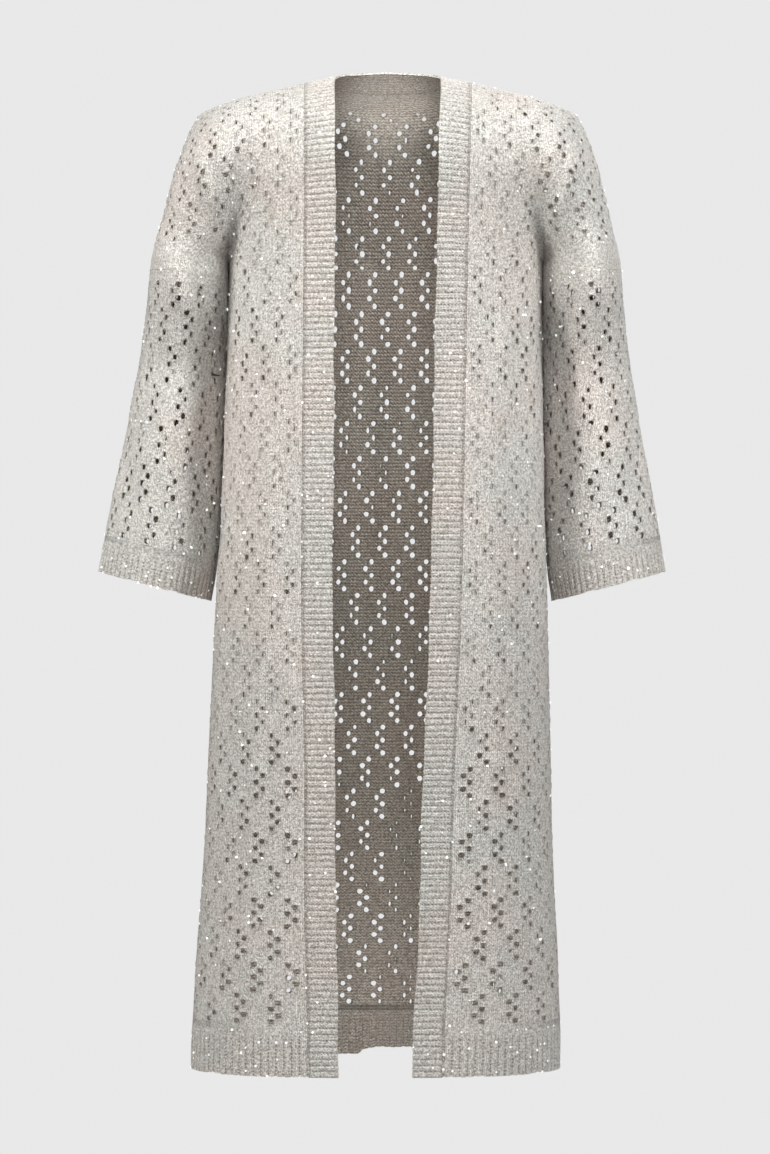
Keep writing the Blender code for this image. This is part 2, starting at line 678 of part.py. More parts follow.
def make_band():
    seam, free = band_lines()
    middle = (seam + free) / 2
    run = np.concatenate(([0.0], np.cumsum(np.linalg.norm(np.diff(middle, axis=0), axis=1))))
    ribs = round(run[-1] / BAND_RIB)
    marks = rib_marks(run[-1], ribs)
    points, thickness = [], []
    for along, raised in marks:
        start = np.array([np.interp(along, run, seam[:, k]) for k in range(3)])
        end = np.array([np.interp(along, run, free[:, k]) for k in range(3)])
        across = (end - start) / np.linalg.norm(end - start)
        gap = NECK_SEAM_GAP if start[1] > 0 else SEAM_GAP
        points += [start + across * gap, end]
        thickness += [RIB_TOP if raised else RIB_FOOT] * 2
    faces = [(2 * k + 1, 2 * k, 2 * k + 2, 2 * k + 3) for k in range(len(marks) - 1)]
    wall("band", points, faces, thickness, flip=False)


for old in list(bpy.data.objects):
    bpy.data.objects.remove(old, do_unlink=True)
GARMENT = bpy.data.collections.new("open_front_cardigan")
bpy.context.scene.collection.children.link(GARMENT)

cut_gaps = make_front(-1) + make_front(1) + make_back()
for sleeve_side in (-1, 1):
    for sleeve_face in ("front", "back"):
        cut_gaps += make_sleeve_half(sleeve_face, sleeve_side)
make_band()
print("lace gaps cut:", cut_gaps)
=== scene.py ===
"""The looks of an open-front lace cardigan: knitted shells, ribs, eyelets, sequins and marled yarn.

The worn form is the one that the solids have, from the same sizes. Every piece is drawn flat in rows of
stitches, with a round gap for each eyelet, and its points are then placed on the worn form as a closed thin
shell. "Out" is the distance from the middle of the body. "Across" and "down" are places on the flat cloth.
"""

import bpy
import numpy as np
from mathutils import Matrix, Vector


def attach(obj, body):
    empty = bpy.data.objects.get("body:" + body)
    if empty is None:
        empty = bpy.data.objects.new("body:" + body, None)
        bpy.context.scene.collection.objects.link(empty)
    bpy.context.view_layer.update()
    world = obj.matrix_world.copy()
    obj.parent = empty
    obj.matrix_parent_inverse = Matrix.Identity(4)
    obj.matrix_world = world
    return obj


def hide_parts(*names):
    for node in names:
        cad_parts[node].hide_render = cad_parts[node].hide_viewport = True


# Driving dimensions of the worn form, in metres, as in the solids. The armhole seam and the cuff have two
# heights: next to the body, and on the outer side
HEM_HEIGHT, UNDERARM_HEIGHT = -1.107, -0.205
ARMHOLE, CUFF = np.array((-0.2220, -0.2136)), np.array((-0.5836, -0.5510))
BAND_WIDTH = 0.035
SEAM_GAP, NECK_SEAM_GAP = 0.0003, 0.0006
LEAN_AT_SHOULDER, LEAN = 0.0045, 0.0126
ROUNDNESS, BLEND = 2.4, 6.0
NECK_OUT, NECK_DIP = 0.0925, 0.013
NECK_FREE_DEPTH, NECK_FREE_HEIGHT = 0.034, 0.0125
UNDERARM_RADIUS = 0.030
SHOULDER_ROUND = {"front": 0.115, "back": 0.062}
ARM_ROUND, ARM_ROUND_OUT, ARM_ROUND_RUN = 0.075, 0.12, 0.09
UPPER_FOLDS_OUT, UPPER_FOLDS_RUN = 0.14, 0.06
# The sleeves hang a little behind the body's sides
SWING, SWING_RUN = 0.032, 0.110
FORWARD = {"front": -1, "back": 1}

# How finely the worn form is measured, how its rows and points crowd at the ends, and what counts as equal
SAMPLES, COLUMNS = 900, 260
UPPER_ROWS, BODY_ROWS, ARM_ROWS, SLEEVE_ROWS = 60, 70, 6, 50
ROW_CROWDING, SIDE_CROWDING = 1.7, 2.5
OUTER_GUESS, GUESSES = 0.2125, 40
CLOSE = 1e-7

# The knit: one stitch across, and how many stitches and cells of two rows a lace group has
STITCH = 0.003875
GROUP_STITCHES, GROUP_CELLS = 8, 5
LACE_START_STITCHES = 3
LACE_END, LEAST_CELL = 0.0070, 0.0030
BODY_GROUPS, SLEEVE_GROUPS = range(-12, 13), range(-4, 16)
TOP_PLAIN, SLEEVE_TOP_PLAIN = 0.030, 0.006
# In stitches: how far apart points of one column are at most, and how near to an edge a column may lie
SAME_COLUMN, EDGE_ROOM, ON_EDGE = 0.35, 0.4, 0.001
# The stitches of the back lie wide over the shoulder blades
BACK_SPREAD, TOP_SPREAD, TOP_SPREAD_RUN = 0.97, 0.62, 0.05
# Over this distance above the underarm the arm's columns follow the armhole. Their labels start from here
ARM_COLUMNS_RUN, ARM_LABEL = 0.066, 1000
CLEFT_OUT, MOST_SLIDE = 0.1758, 3.5

# The eyelets: their usual size, the least cloth beside one, and how their size and place vary
EYELET, EYELET_SIDES, LEAST_CLOTH = 0.0056, 10, 0.0006
SIZE_VARIES, TALL_VARIES, ROUND_VARIES = (0.74, 1.14), (1.0, 1.5), (0.90, 1.10)
FIRST_LARGER, GROUP_SIZE, GROUP_VARIES = 1.16, 0.95, 0.14
GROUP_RATE, ROW_RATE = 12.9, 7.3
SMALL_CHANCE, SMALL_SIZE = 0.07, 0.6
SLIT_RISE, SLIT_START, SLIT_LEAST = 1.5, 0.35, 0.26
ZIGZAG, WANDER = 0.0006, 0.0003
SLEEVE_OPENNESS, BACK_OPENNESS = 0.94, 1.16
# The lower part of one side of the back is nearly closed
CLOSED_OPENNESS, CLOSED_ACROSS, CLOSED_HEIGHT = 0.66, 0.010, -0.80

# The ribs. Each rib of the solids is two ribs here
FRONT_RIBS, BACK_RIBS, SLEEVE_RIBS = 22, 70, 56
BAND_RIB, RIB_STITCHES = 0.0068, 2
HEM_RIB_HEIGHT, CUFF_RIB_HEIGHT, RIB_FADE = 0.050, 0.036, 0.012
HEM_ROWS, CUFF_ROWS, BAND_STEPS = 7, 6, 6
RIB_TOP, RIB_FOOT = 0.0025, 0.0018
SCALLOP, SCALLOP_MIDDLE = 0.0009, 0.6
PICK_UP, PICK_UP_VARIES = 0.0024, (0.3, 1.1)
BAND_SCALLOP, BAND_WAVE, SHORT_RATE, LONG_RATE = 0.0006, 0.0009, 41, 17

# The hem's rounded corners, the step of the back's edge, and the edges' waves: height, rate and start
HEM_CORNER, HEM_CORNER_RISE = 0.018, 0.0075
STEP_RISE, STEP_START, STEP_RUN, STEP_END, STEP_FADE = 0.0075, -0.020, 0.010, 0.16, 0.10
HEM_WAVES = ((0.0009, 95, 0), (0.0007, 223, 1))
CUFF_WAVES = ((0.0008, 120, 0), (0.0006, 260, 2))

# The wall of the cloth, and what stands off it
WALL, LUMP = 0.0019, 0.00014
# RIM_SHADE is the share of painted shade round each eyelet
RIM_RISE, RIM_SHADE = 0.0005, 0.75
SEAM_RIDGE, SEAM_RIDGE_RUN = 0.0004, 0.0030
UNEVEN_WAVES, UNEVEN_PERIOD, UNEVEN_RISE, PERIOD_VARIES = 6, 0.034, 0.0005, (0.7, 1.5)
# How fast the purl and the painted shade of a rib's furrow fade towards its crest
PURL_FURROW, DARK_FURROW = 2.2, 5.0

# The sequins: how many a piece has, their sizes, and how they lie
SEQUINS = {"front": 130, "back": 230, "sleeve": 100, "band": 80}
SEQUIN_SIDES, SEQUIN_RADIUS, SEQUIN_HALF = 6, (0.0009, 0.0017), 0.0002
SEQUIN_RISE, SEQUIN_TILT = 0.0007, 0.28

RANDOM = np.random.default_rng(17)


class Table:
    """Rows of sizes in named columns, read at any value of the first column on smooth curves."""

    def __init__(self, columns, *rows):
        values = np.array(sorted(rows)).T
        self.key = values[0]
        self.column = dict(zip(columns.split()[1:], values[1:]))
        self.slope = {name: self.even_slopes(column) for name, column in self.column.items()}

    def even_slopes(self, column):
        """Slopes that never carry the curve past its rows."""
        rises = np.diff(column) / np.diff(self.key)
        before, after = rises[:-1], rises[1:]
        both = before * after
        inner = np.where(both > 0, 2 * both / np.where(both > 0, before + after, 1), 0)
        return np.concatenate((rises[:1], inner, rises[-1:]))

    def at(self, name, key):
        x, y, slope = self.key, self.column[name], self.slope[name]
        i = np.clip(np.searchsorted(x, key) - 1, 0, len(x) - 2)
        step = x[i + 1] - x[i]
        t = np.clip((key - x[i]) / step, 0, 1)
        start = (2 * t**3 - 3 * t**2 + 1) * y[i] + (t**3 - 2 * t**2 + t) * step * slope[i]
        return start + (3 * t**2 - 2 * t**3) * y[i + 1] + (t**3 - t**2) * step * slope[i + 1]


BODY = Table(
    "height half_width front back",
    (0.02, 0.174, 0.106, 0.1),
    (-0.205, 0.174, 0.112, 0.108),
    (-0.29, 0.175, 0.114, 0.108),
    (-0.45, 0.1795, 0.115, 0.108),
    (-0.583, 0.1843, 0.116, 0.112),
    (-0.745, 0.19, 0.118, 0.119),
    (-0.86, 0.1937, 0.119, 0.123),
    (-1.0, 0.202, 0.12, 0.127),
    (-1.083, 0.205, 0.12, 0.129),
    (-1.12, 0.2052, 0.12, 0.129),
)
# The free edge of the front, measured from the middle
FRONT_EDGE = Table(
    "height out",
    (0.020, 0.0585),
    (-0.147, 0.0555),
    (-0.580, 0.0528),
    (-0.770, 0.0474),
    (-0.920, 0.0452),
    (-1.050, 0.0405),
    (-1.120, 0.0392),
)
# The line over the shoulder, from the neck outwards
CROWN = Table(
    "out height",
    (0.000, 0.0050),
    (0.055, 0.0030),
    (0.090, -0.0030),
    (0.127, -0.0120),
    (0.154, -0.0180),
    (0.181, -0.0260),
    (0.204, -0.0355),
    (0.2125, -0.0410),
    (0.270, -0.0620),
)
# The upper arm and the sleeve: its side next to the body, its outer side and half its depth
ARM = Table(
    "height inner outer depth",
    (-0.02, 0.096, 0.201, 0.069),
    (-0.041, 0.104, 0.2125, 0.071),
    (-0.05, 0.108, 0.217, 0.072),
    (-0.072, 0.118, 0.2265, 0.073),
    (-0.105, 0.135, 0.2375, 0.074),
    (-0.139, 0.152, 0.246, 0.074),
    (-0.172, 0.166, 0.254, 0.073),
    (-0.205, 0.1772, 0.262, 0.071),
    (-0.256, 0.1774, 0.2665, 0.0685),
    (-0.29, 0.1778, 0.2715, 0.067),
    (-0.358, 0.1792, 0.283, 0.064),
    (-0.425, 0.1812, 0.2955, 0.061),
    (-0.4925, 0.184, 0.309, 0.058),
    (-0.53, 0.1866, 0.315, 0.057),
    (-0.551, 0.1895, 0.3185, 0.056),
    (-0.584, 0.1948, 0.3225, 0.055),
    (-0.6, 0.1965, 0.324, 0.055),
)

# Soft folds: where each starts and ends, how wide it is, how far it stands off, and its side, 0 for both.
# The columns are out_1, height_1, out_2, height_2, width, rise and side
FRONT_FOLDS = (
    (0.128, -0.36, 0.14, -1.14, 0.016, 0.005, -1),
    (0.104, -0.56, 0.108, -1.15, 0.013, 0.0034, -1),
    (0.16, -0.6, 0.172, -1.14, 0.01, 0.0036, -1),
    (0.121, -0.32, 0.13, -1.15, 0.015, 0.0045, 1),
    (0.15, -0.5, 0.163, -1.13, 0.012, 0.004, 1),
    (0.098, -0.7, 0.1, -1.15, 0.012, 0.0028, 1),
    (0.212, -0.078, 0.18, -0.19, 0.01, 0.006, 0),
    (0.19, -0.052, 0.158, -0.2, 0.013, 0.005, 0),
    (0.24, -0.12, 0.212, -0.225, 0.009, 0.0036, 0),
)
BACK_FOLDS = (
    (0.02, -0.33, 0.026, -1.14, 0.017, 0.0056, -1),
    (0.078, -0.45, 0.086, -1.15, 0.015, 0.0044, -1),
    (0.13, -0.38, 0.142, -1.13, 0.014, 0.005, -1),
    (0.042, -0.4, 0.052, -1.15, 0.016, 0.005, 1),
    (0.104, -0.34, 0.112, -1.14, 0.015, 0.0054, 1),
    (0.158, -0.52, 0.166, -1.15, 0.011, 0.004, 1),
    (0.206, -0.08, 0.176, -0.195, 0.011, 0.005, 0),
    (0.18, -0.05, 0.146, -0.19, 0.014, 0.0042, 0),
)
FOLDS = {"front": FRONT_FOLDS, "back": BACK_FOLDS}
FOLD_START, FOLD_ENDS = 0.8, 0.7

# Creases given as lines on the front (-1) or the back (1) of the worn form: where each starts and ends, how
# wide it is, and how far it rises, or sinks where that is below zero.
# The columns are face, x_1, z_1, x_2, z_2, width and rise
CREASES = (
    (-1, -0.218, -0.145, -0.185, -0.34, 0.017, -0.0085),
    (-1, -0.245, -0.15, -0.212, -0.34, 0.014, 0.004),
    (-1, -0.233, -0.24, -0.201, -0.37, 0.009, -0.0036),
    (-1, -0.189, -0.185, -0.1765, -0.206, 0.005, -0.0028),
    (-1, 0.22, -0.143, 0.186, -0.33, 0.017, -0.008),
    (-1, 0.246, -0.154, 0.214, -0.33, 0.014, 0.0038),
    (-1, 0.232, -0.244, 0.202, -0.36, 0.009, -0.0034),
    (-1, -0.195, -0.26, -0.2, -0.54, 0.015, -0.0075),
    (-1, 0.195, -0.26, 0.199, -0.52, 0.015, -0.007),
    (-1, 0.19, -0.183, 0.178, -0.205, 0.005, -0.0026),
    (-1, -0.276, -0.37, -0.3014, -0.515, 0.013, -0.0062),
    (-1, -0.233, -0.325, -0.256, -0.455, 0.015, 0.003),
    (-1, 0.272, -0.36, 0.296, -0.505, 0.012, -0.0042),
    (-1, 0.23, -0.34, 0.25, -0.48, 0.015, 0.0034),
    (-1, -0.145, -0.23, -0.12, -0.34, 0.011, 0.002),
    (-1, 0.15, -0.235, 0.125, -0.35, 0.012, 0.0024),
    (-1, -0.098, -0.63, -0.115, -0.77, 0.014, 0.002),
    (-1, 0.11, -0.68, 0.095, -0.81, 0.014, -0.002),
    (1, -0.215, -0.15, -0.155, -0.27, 0.01, -0.005),
    (1, -0.23, -0.17, -0.185, -0.3, 0.008, 0.003),
    (1, 0.218, -0.145, 0.16, -0.28, 0.011, -0.0046),
    (1, 0.232, -0.175, 0.188, -0.29, 0.008, 0.0032),
    (1, -0.295, -0.35, -0.235, -0.395, 0.008, -0.003),
    (1, 0.288, -0.33, 0.232, -0.39, 0.009, -0.0034),
    (1, -0.07, -0.16, 0.01, -0.205, 0.013, 0.0022),
    (1, 0.09, -0.39, 0.02, -0.45, 0.015, -0.0024),
    (1, -0.12, -0.72, -0.05, -0.79, 0.016, 0.0022),
    (1, 0.13, -0.86, 0.08, -0.99, 0.015, 0.002),
)
CREASE_WAVE, CREASE_WAVES, CREASE_PHASE = 0.0040, 3.1, 40
CREASE_TURN, CREASE_ENDS, SLEEVE_OUT = 0.025, 0.8, 0.178
DEEPEST = 0.0100

# How long one row of lace groups is, by its distance down the cloth
LACE_PITCH = Table(
    "down pitch",
    (0.000, 0.0330),
    (0.060, 0.0400),
    (0.120, 0.0456),
    (0.250, 0.0456),
    (0.330, 0.0417),
    (0.800, 0.0367),
    (1.120, 0.0343),
)
# How open the eyelets of the fronts are by their height: close to the band and further to the side
OPENNESS = Table(
    "height near far",
    (0.0, 0.46, 0.6),
    (-0.08, 0.54, 0.84),
    (-0.2, 0.58, 0.96),
    (-0.36, 0.6, 0.86),
    (-0.46, 0.58, 0.7),
    (-0.7, 0.68, 0.66),
    (-0.77, 0.98, 0.68),
    (-0.86, 1.16, 0.7),
    (-1.11, 1.28, 0.72),
)
NEAR_BAND, NEAR_BAND_RUN = 0.062, 0.008


def smooth(share):
    """A share of 0 to 1 that starts and ends gently."""
    share = np.clip(share, 0, 1)
    return share**2 * (3 - 2 * share)


def centre(height):
    """Where the middle of the garment is at a height."""
    return LEAN_AT_SHOULDER + LEAN * height


def swing(height):
    """How far a sleeve hangs behind its own armhole at a height."""
    return SWING * smooth((ARMHOLE[0] - SEAM_GAP - height) / SWING_RUN)


def beside_line(line, x, z):
    """How far along a line places are, as a share of its length, and how far aside of it."""
    x_1, z_1, x_2, z_2 = line
    length = np.hypot(x_2 - x_1, z_2 - z_1)
    along_x, along_z = (x_2 - x_1) / length, (z_2 - z_1) / length
    run = (x - x_1) * along_x + (z - z_1) * along_z
    return run / length, (x - x_1) * along_z - (z - z_1) * along_x


def fold_rise(face, side, out, height):
    """How far the soft folds lift the cloth at a place on one face."""
    rise = np.zeros(np.broadcast(out, height).shape)
    for *line, width, most, which in FOLDS[face]:
        if which in (0, side):
            share, aside = beside_line(line, out, height)
            swell = np.sin(np.pi * np.clip(share, 0, 1) ** FOLD_START) ** FOLD_ENDS
            rise = rise + most * swell * np.exp(-((aside / width) ** 2))
    return rise


def round_off(share):
    """A quarter round, from 0 at the edge to 1 where it has turned over."""
    return np.sqrt(np.clip(1 - (1 - np.clip(share, 0, 1)) ** 2, 0, 1))


def body_depth(face, side, out, height):
    """How far the body stands in front of or behind the plane of the side seams."""
    share = np.clip(out / BODY.at("half_width", height), 0, 1)
    fullness = np.clip(1 - share**ROUNDNESS, 0, 1) ** (1 / ROUNDNESS)
    return (BODY.at(face, height) + fold_rise(face, side, out, height) * round_off(1 - share)) * fullness


def arm_middle(height):
    """How far out the middle of the arm is at a height, and half its width."""
    inner, outer = ARM.at("inner", height), ARM.at("outer", height)
    return (inner + outer) / 2, (outer - inner) / 2


def upper_depth(face, side, out, height):
    """The depth above the underarm, where the cloth spans from the body to the upper arm."""
    middle, half = arm_middle(height)
    share = (out - middle) / half
    arm = ARM.at("depth", height) * np.sqrt(np.clip(1 - share**2, 0, 1))
    above = height - UNDERARM_HEIGHT
    past_arm = np.clip(share, 0, 1)
    web = np.sqrt(2 * UNDERARM_RADIUS * np.clip(above, 0, 1)) * np.sqrt(1 - past_arm**2)
    body = body_depth(face, side, out, height)
    joined = (body**BLEND + arm**BLEND + web**BLEND) ** (1 / BLEND)
    lift = fold_rise(face, side, out, height) * (out > UPPER_FOLDS_OUT)
    lift = lift * np.clip(above / UPPER_FOLDS_RUN, 0, 1) ** 2
    near_arm = np.clip((out - ARM_ROUND_OUT) / ARM_ROUND_RUN, 0, 1)
    turn = SHOULDER_ROUND[face] * (1 - near_arm) + ARM_ROUND * near_arm
    return (joined + lift) * round_off((CROWN.at("height", out) - height) / turn)


def neck_dip(out):
    return NECK_DIP * np.clip(1 - (out / NECK_OUT) ** 2, 0, 1)


def row_height(face, out, share):
    """The height of a row of the upper part, from the shoulder seam (0) to the underarm (1)."""
    top = CROWN.at("height", out) - (neck_dip(out) if face == "back" else 0)
    return (1 - share) * top + share * UNDERARM_HEIGHT


def seam_out(height):
    return FRONT_EDGE.at("out", height) + BAND_WIDTH


def run_along(points):
    """How far along a line each of its points is."""
    steps = np.linalg.norm(np.diff(points, axis=0), axis=1)
    return np.concatenate(([0.0], np.cumsum(steps)))


def at_run(where, run, points):
    """Places on a line of points, by how far along it they are."""
    return np.stack([np.interp(where, run, points[:, k]) for k in range(3)], 1)


def spaced(points):
    """The same line as evenly spaced points, and its length."""
    run = run_along(points)
    return at_run(np.linspace(0, run[-1], COLUMNS), run, points), run[-1]


def in_world(face, side, points):
    """World points for places given as out, depth and height."""
    out, depth, height = points.T
    return np.stack((side * out + centre(height), FORWARD[face] * (depth + SEAM_GAP / 2), height), 1)


class Sheet:
    """Cloth through rows of evenly spaced points. A place on it is given across and down, in metres."""

    def __init__(self, rows, downs, width=None):
        """Each row comes with its length, which is its width on the cloth unless one is given for all."""
        self.rows, self.downs = np.array([points for points, _ in rows]), downs
        self.widths = np.array([width or length for _, length in rows])

    def at(self, across, down):
        rows, columns = self.rows.shape[:2]
        r = np.interp(down, self.downs, np.arange(rows))
        width = np.interp(down, self.downs, self.widths)
        c = np.clip(across / width, 0, 1) * (columns - 1)
        i = np.minimum(r.astype(int), rows - 2)
        j = np.minimum(c.astype(int), columns - 2)
        u, v = (r - i)[:, None], (c - j)[:, None]
        upper = self.rows[i, j] * (1 - v) + self.rows[i, j + 1] * v
        lower = self.rows[i + 1, j] * (1 - v) + self.rows[i + 1, j + 1] * v
        return upper * (1 - u) + lower * u


def upper_row(face, side, share):
    start = 0.0
    if face == "front":
        start = seam_out(row_height(face, NECK_OUT, share))
    end = OUTER_GUESS
    for _ in range(GUESSES):
        end = ARM.at("outer", row_height(face, end, share))
    ease = np.sin(np.pi / 2 * np.linspace(0, 1, SAMPLES))
    out = start + (end - start) * ease
    height = row_height(face, out, share)
    depth = upper_depth(face, side, out, height)
    return np.stack((out, depth, height), 1)


def body_row(face, side, height):
    start = seam_out(height) if face == "front" else 0.0
    end = BODY.at("half_width", height)
    out = start + (end - start) * (1 - (1 - np.linspace(0, 1, SAMPLES)) ** SIDE_CROWDING)
    level = np.full(SAMPLES, height)
    return np.stack((out, body_depth(face, side, out, level), level), 1)


def arm_row(heights):
    """Half a round of the sleeve, from its side next to the body to its outer side."""
    inner, outer = (ARM.at(name, height) for name, height in zip(("inner", "outer"), heights))
    turn = np.pi * np.linspace(0, 1, SAMPLES)
    share = (1 - np.cos(turn)) / 2
    out, height = inner + (outer - inner) * share, heights[0] + (heights[1] - heights[0]) * share
    return np.stack((out, ARM.at("depth", np.mean(heights)) * np.sin(turn), height), 1)


def arm_rows(start, end, shares):
    """Evenly spaced rows round half the arm, at shares of the way between two pairs of heights."""
    return [spaced(arm_row(start + (end - start) * share)) for share in shares]


class Panel:
    """A front, or one half of the back, on one side: upper part, body and the short start of the arm."""

    def __init__(self, face, side):
        self.face, self.side = face, side
        shares = np.linspace(0, 1, UPPER_ROWS) ** ROW_CROWDING
        upper = [spaced(upper_row(face, side, share)) for share in shares]
        self.upper = Sheet(upper, run_along([points[COLUMNS // 6] for points, _ in upper]))
        self.underarm_down = self.upper.downs[-1]
        heights = np.linspace(UNDERARM_HEIGHT, HEM_HEIGHT, BODY_ROWS)
        body = [spaced(body_row(face, side, height)) for height in heights]
        self.body_width = body[0][1]
        self.body = Sheet(body, self.down_at(heights), self.body_width)
        self.hem_down = self.down_at(HEM_HEIGHT)
        self.ring_down = self.down_at(ARMHOLE.mean())
        underarm = ARM.at("inner", UNDERARM_HEIGHT) - BODY.at("half_width", UNDERARM_HEIGHT)
        self.arm_start = self.body_width + underarm
        shares = np.linspace(0, 1, ARM_ROWS)
        arm = arm_rows(np.full(2, UNDERARM_HEIGHT), ARMHOLE + SEAM_GAP / 2, shares)
        downs = self.underarm_down + (self.ring_down - self.underarm_down) * shares
        self.arm = Sheet(arm, downs, upper[-1][1] - self.arm_start)

    def down_at(self, height):
        """How far down the cloth a height below the underarm is."""
        return self.underarm_down + UNDERARM_HEIGHT - height

    def top_width(self, down):
        return float(np.interp(down, self.upper.downs, self.upper.widths))

    def armhole_sides(self, down):
        """Where the body ends and where the arm starts on a row. Above the underarm they meet."""
        if down > self.underarm_down - CLOSE:
            return self.body_width, self.arm_start
        return self.cleft(down), self.cleft(down)

    def cleft(self, down):
        """Where a row crosses the line between the body and the arm."""
        row = int(np.argmin(np.abs(self.upper.downs - down)))
        share = np.interp(CLEFT_OUT, self.upper.rows[row][:, 0], np.linspace(0, 1, COLUMNS))
        return float(share * self.top_width(down))

    def place(self, across, down):
        """World points for places on the cloth, across from the seam or the middle and down from the top."""
        points = self.upper.at(across, np.minimum(down, self.underarm_down))
        below = down > self.underarm_down + CLOSE
        on_arm = across > (self.body_width + self.arm_start) / 2
        points = np.where((below & ~on_arm)[:, None], self.body.at(across, down), points)
        points = np.where((below & on_arm)[:, None], self.arm.at(across - self.arm_start, down), points)
        return in_world(self.face, self.side, points)


class SleeveHalf:
    """The front or back half of a sleeve, from the armhole seam to the cuff."""

    def __init__(self, face, side):
        self.face, self.side = face, side
        shares = np.linspace(0, 1, SLEEVE_ROWS)
        rows = arm_rows(ARMHOLE - SEAM_GAP / 2, CUFF - SEAM_GAP / 2, shares)
        self.width, self.length = rows[-1][1], (ARMHOLE - CUFF).mean()
        self.sheet = Sheet(rows, self.length * shares, self.width)

    def place(self, across, down):
        points = in_world(self.face, self.side, self.sheet.at(across, down))
        points[:, 1] += swing(points[:, 2])
        return points


def band_lines():
    """The band's seam and its free edge, from the right hem round the neck to the left hem."""
    edges = [], []
    for height in np.linspace(HEM_HEIGHT, UNDERARM_HEIGHT, SAMPLES)[:-1]:
        for edge, out in zip(edges, (seam_out(height), FRONT_EDGE.at("out", height))):
            edge.append((out, -body_depth("front", 0, out, height), height))
    for share in np.linspace(1, 0, COLUMNS) ** ROW_CROWDING:
        level = row_height("front", NECK_OUT, share)
        for edge, out in zip(edges, (seam_out(level), FRONT_EDGE.at("out", level))):
            height = row_height("front", out, share)
            edge.append((out, -upper_depth("front", 0, out, height), height))
    seam, free = (np.array(edge, float) for edge in edges)
    turn = np.linspace(0, np.pi, COLUMNS)[1:-1]
    seam_x, free_x = seam[-1, 0] * np.cos(turn), free[-1, 0] * np.cos(turn)
    seam_z = row_height("back", np.abs(seam_x), 0)
    seam_y = upper_depth("back", 0, np.abs(seam_x), seam_z)
    free_z = free[-1, 2] + (NECK_FREE_HEIGHT - free[-1, 2]) * np.sin(turn)
    free_y = NECK_FREE_DEPTH * np.sin(turn)
    lines = []
    for edge, neck in ((seam, (-seam_x, seam_y, seam_z)), (free, (-free_x, free_y, free_z))):
        line = np.concatenate((edge * (-1, 1, 1), np.stack(neck, 1), edge[::-1]))
        line[:, 0] += centre(line[:, 2])
        lines.append(line)
    return lines


class Knit:
    """Flat cloth made row by row. Each point keeps its place, its stitch and how it stands off the wall.

    A row is a list of points in order across, each with its column, or another label where it has none."""

    def __init__(self):
        self.number, self.faces = {}, []
        self.places, self.stitches, self.rims, self.ribs = [], [], [], []

    def point(self, across, down, stitch, rim=0.0, rib=-1.0):
        """The number of the point at a place. rib is -1 off the ribs, 0 in a furrow and 1 on a crest."""
        key = (round(across, 6), round(down, 6))
        if key not in self.number:
            self.number[key] = len(self.places)
            self.places.append((across, down))
            self.stitches.append(stitch)
            self.rims.append(rim)
            self.ribs.append(rib)
        return self.number[key]

    def bridge(self, upper, lower, slide=0.0):
        """Faces between two rows. The lower row may lie aside by a slide."""
        upper, lower = ([number for _, number in row] for row in (upper, lower))
        i, j = 0, 0
        while i < len(upper) - 1 or j < len(lower) - 1:
            next_upper = self.places[upper[i + 1]][0] if i < len(upper) - 1 else np.inf
            next_lower = self.places[lower[j + 1]][0] - slide if j < len(lower) - 1 else np.inf
            both = abs(next_upper - next_lower) < SAME_COLUMN * STITCH
            on_upper = both or next_upper < next_lower
            on_lower = both or not on_upper
            self.faces.append((*upper[i : i + 1 + on_upper], *lower[j : j + 1 + on_lower][::-1]))
            i, j = i + on_upper, j + on_lower

    def eyelet(self, corners, middle, half_width, half_height, lean):
        """A round gap inside a ring of points."""
        turn = RANDOM.uniform(0, 0.5)
        angles = -np.pi + (np.arange(EYELET_SIDES) + turn) / EYELET_SIDES * 2 * np.pi
        uneven = RANDOM.uniform(*ROUND_VARIES, EYELET_SIDES)
        u, v = np.mean([self.stitches[k] for k in corners], axis=0)
        ring = []
        for angle, share in zip(angles, uneven):
            aside, below = half_width * share * np.cos(angle), half_height * share * np.sin(angle)
            place = (middle[0] + aside + lean * below, middle[1] + below)
            ring.append(self.point(*place, (u + aside / STITCH, v + below / STITCH), rim=1.0))
        outer, outer_turns = self.in_order(corners, middle)
        inner, inner_turns = self.in_order(ring, middle)
        i, j = 0, 0
        while i < len(corners) or j < len(ring):
            on_outer = j == len(ring) or (i < len(corners) and outer_turns[i + 1] < inner_turns[j + 1])
            self.faces.append((outer[i], outer[i + 1] if on_outer else inner[j + 1], inner[j]))
            i, j = i + on_outer, j + (not on_outer)

    def in_order(self, numbers, middle):
        """Points in order round a middle and back to the first one, and their angles."""
        turns = {k: np.arctan2(self.places[k][1] - middle[1], self.places[k][0] - middle[0]) for k in numbers}
        ordered = sorted(numbers, key=turns.get)
        return ordered + ordered[:1], [turns[k] for k in ordered] + [turns[ordered[0]] + 2 * np.pi]


def strip(cloth, upper, lower, gaps, slide=0.0):
    """The cloth between two rows, with an eyelet at each column that has its neighbours on both rows."""
    upper_of, lower_of = dict(upper), dict(lower)
    cuts = []
    for column, size, shift in sorted(gaps):
        fits = all(key in upper_of and key in lower_of for key in (column - 1, column, column + 1))
        if fits and (not cuts or cuts[-1][0] <= column - 2):
            cuts.append((column, size, shift))
    for column, size, shift in cuts:
        left_upper, upper = split(upper, column)
        left_lower, lower = split(lower, column)
        cloth.bridge(left_upper, left_lower, slide)
        ring = [upper_of[column + k] for k in (-1, 0, 1)] + [lower_of[column + k] for k in (1, 0, -1)]
        top, foot = np.array(cloth.places[ring[1]]), np.array(cloth.places[ring[4]])
        room = foot[1] - top[1]
        half_width = min(0.5 * size[0], STITCH - LEAST_CLOTH - abs(shift))
        half_height = min(0.5 * size[1], room / 2 - LEAST_CLOTH)
        cloth.eyelet(ring, (top + foot) / 2 + (shift, 0), half_width, half_height, slide / room)
    cloth.bridge(upper, lower, slide)


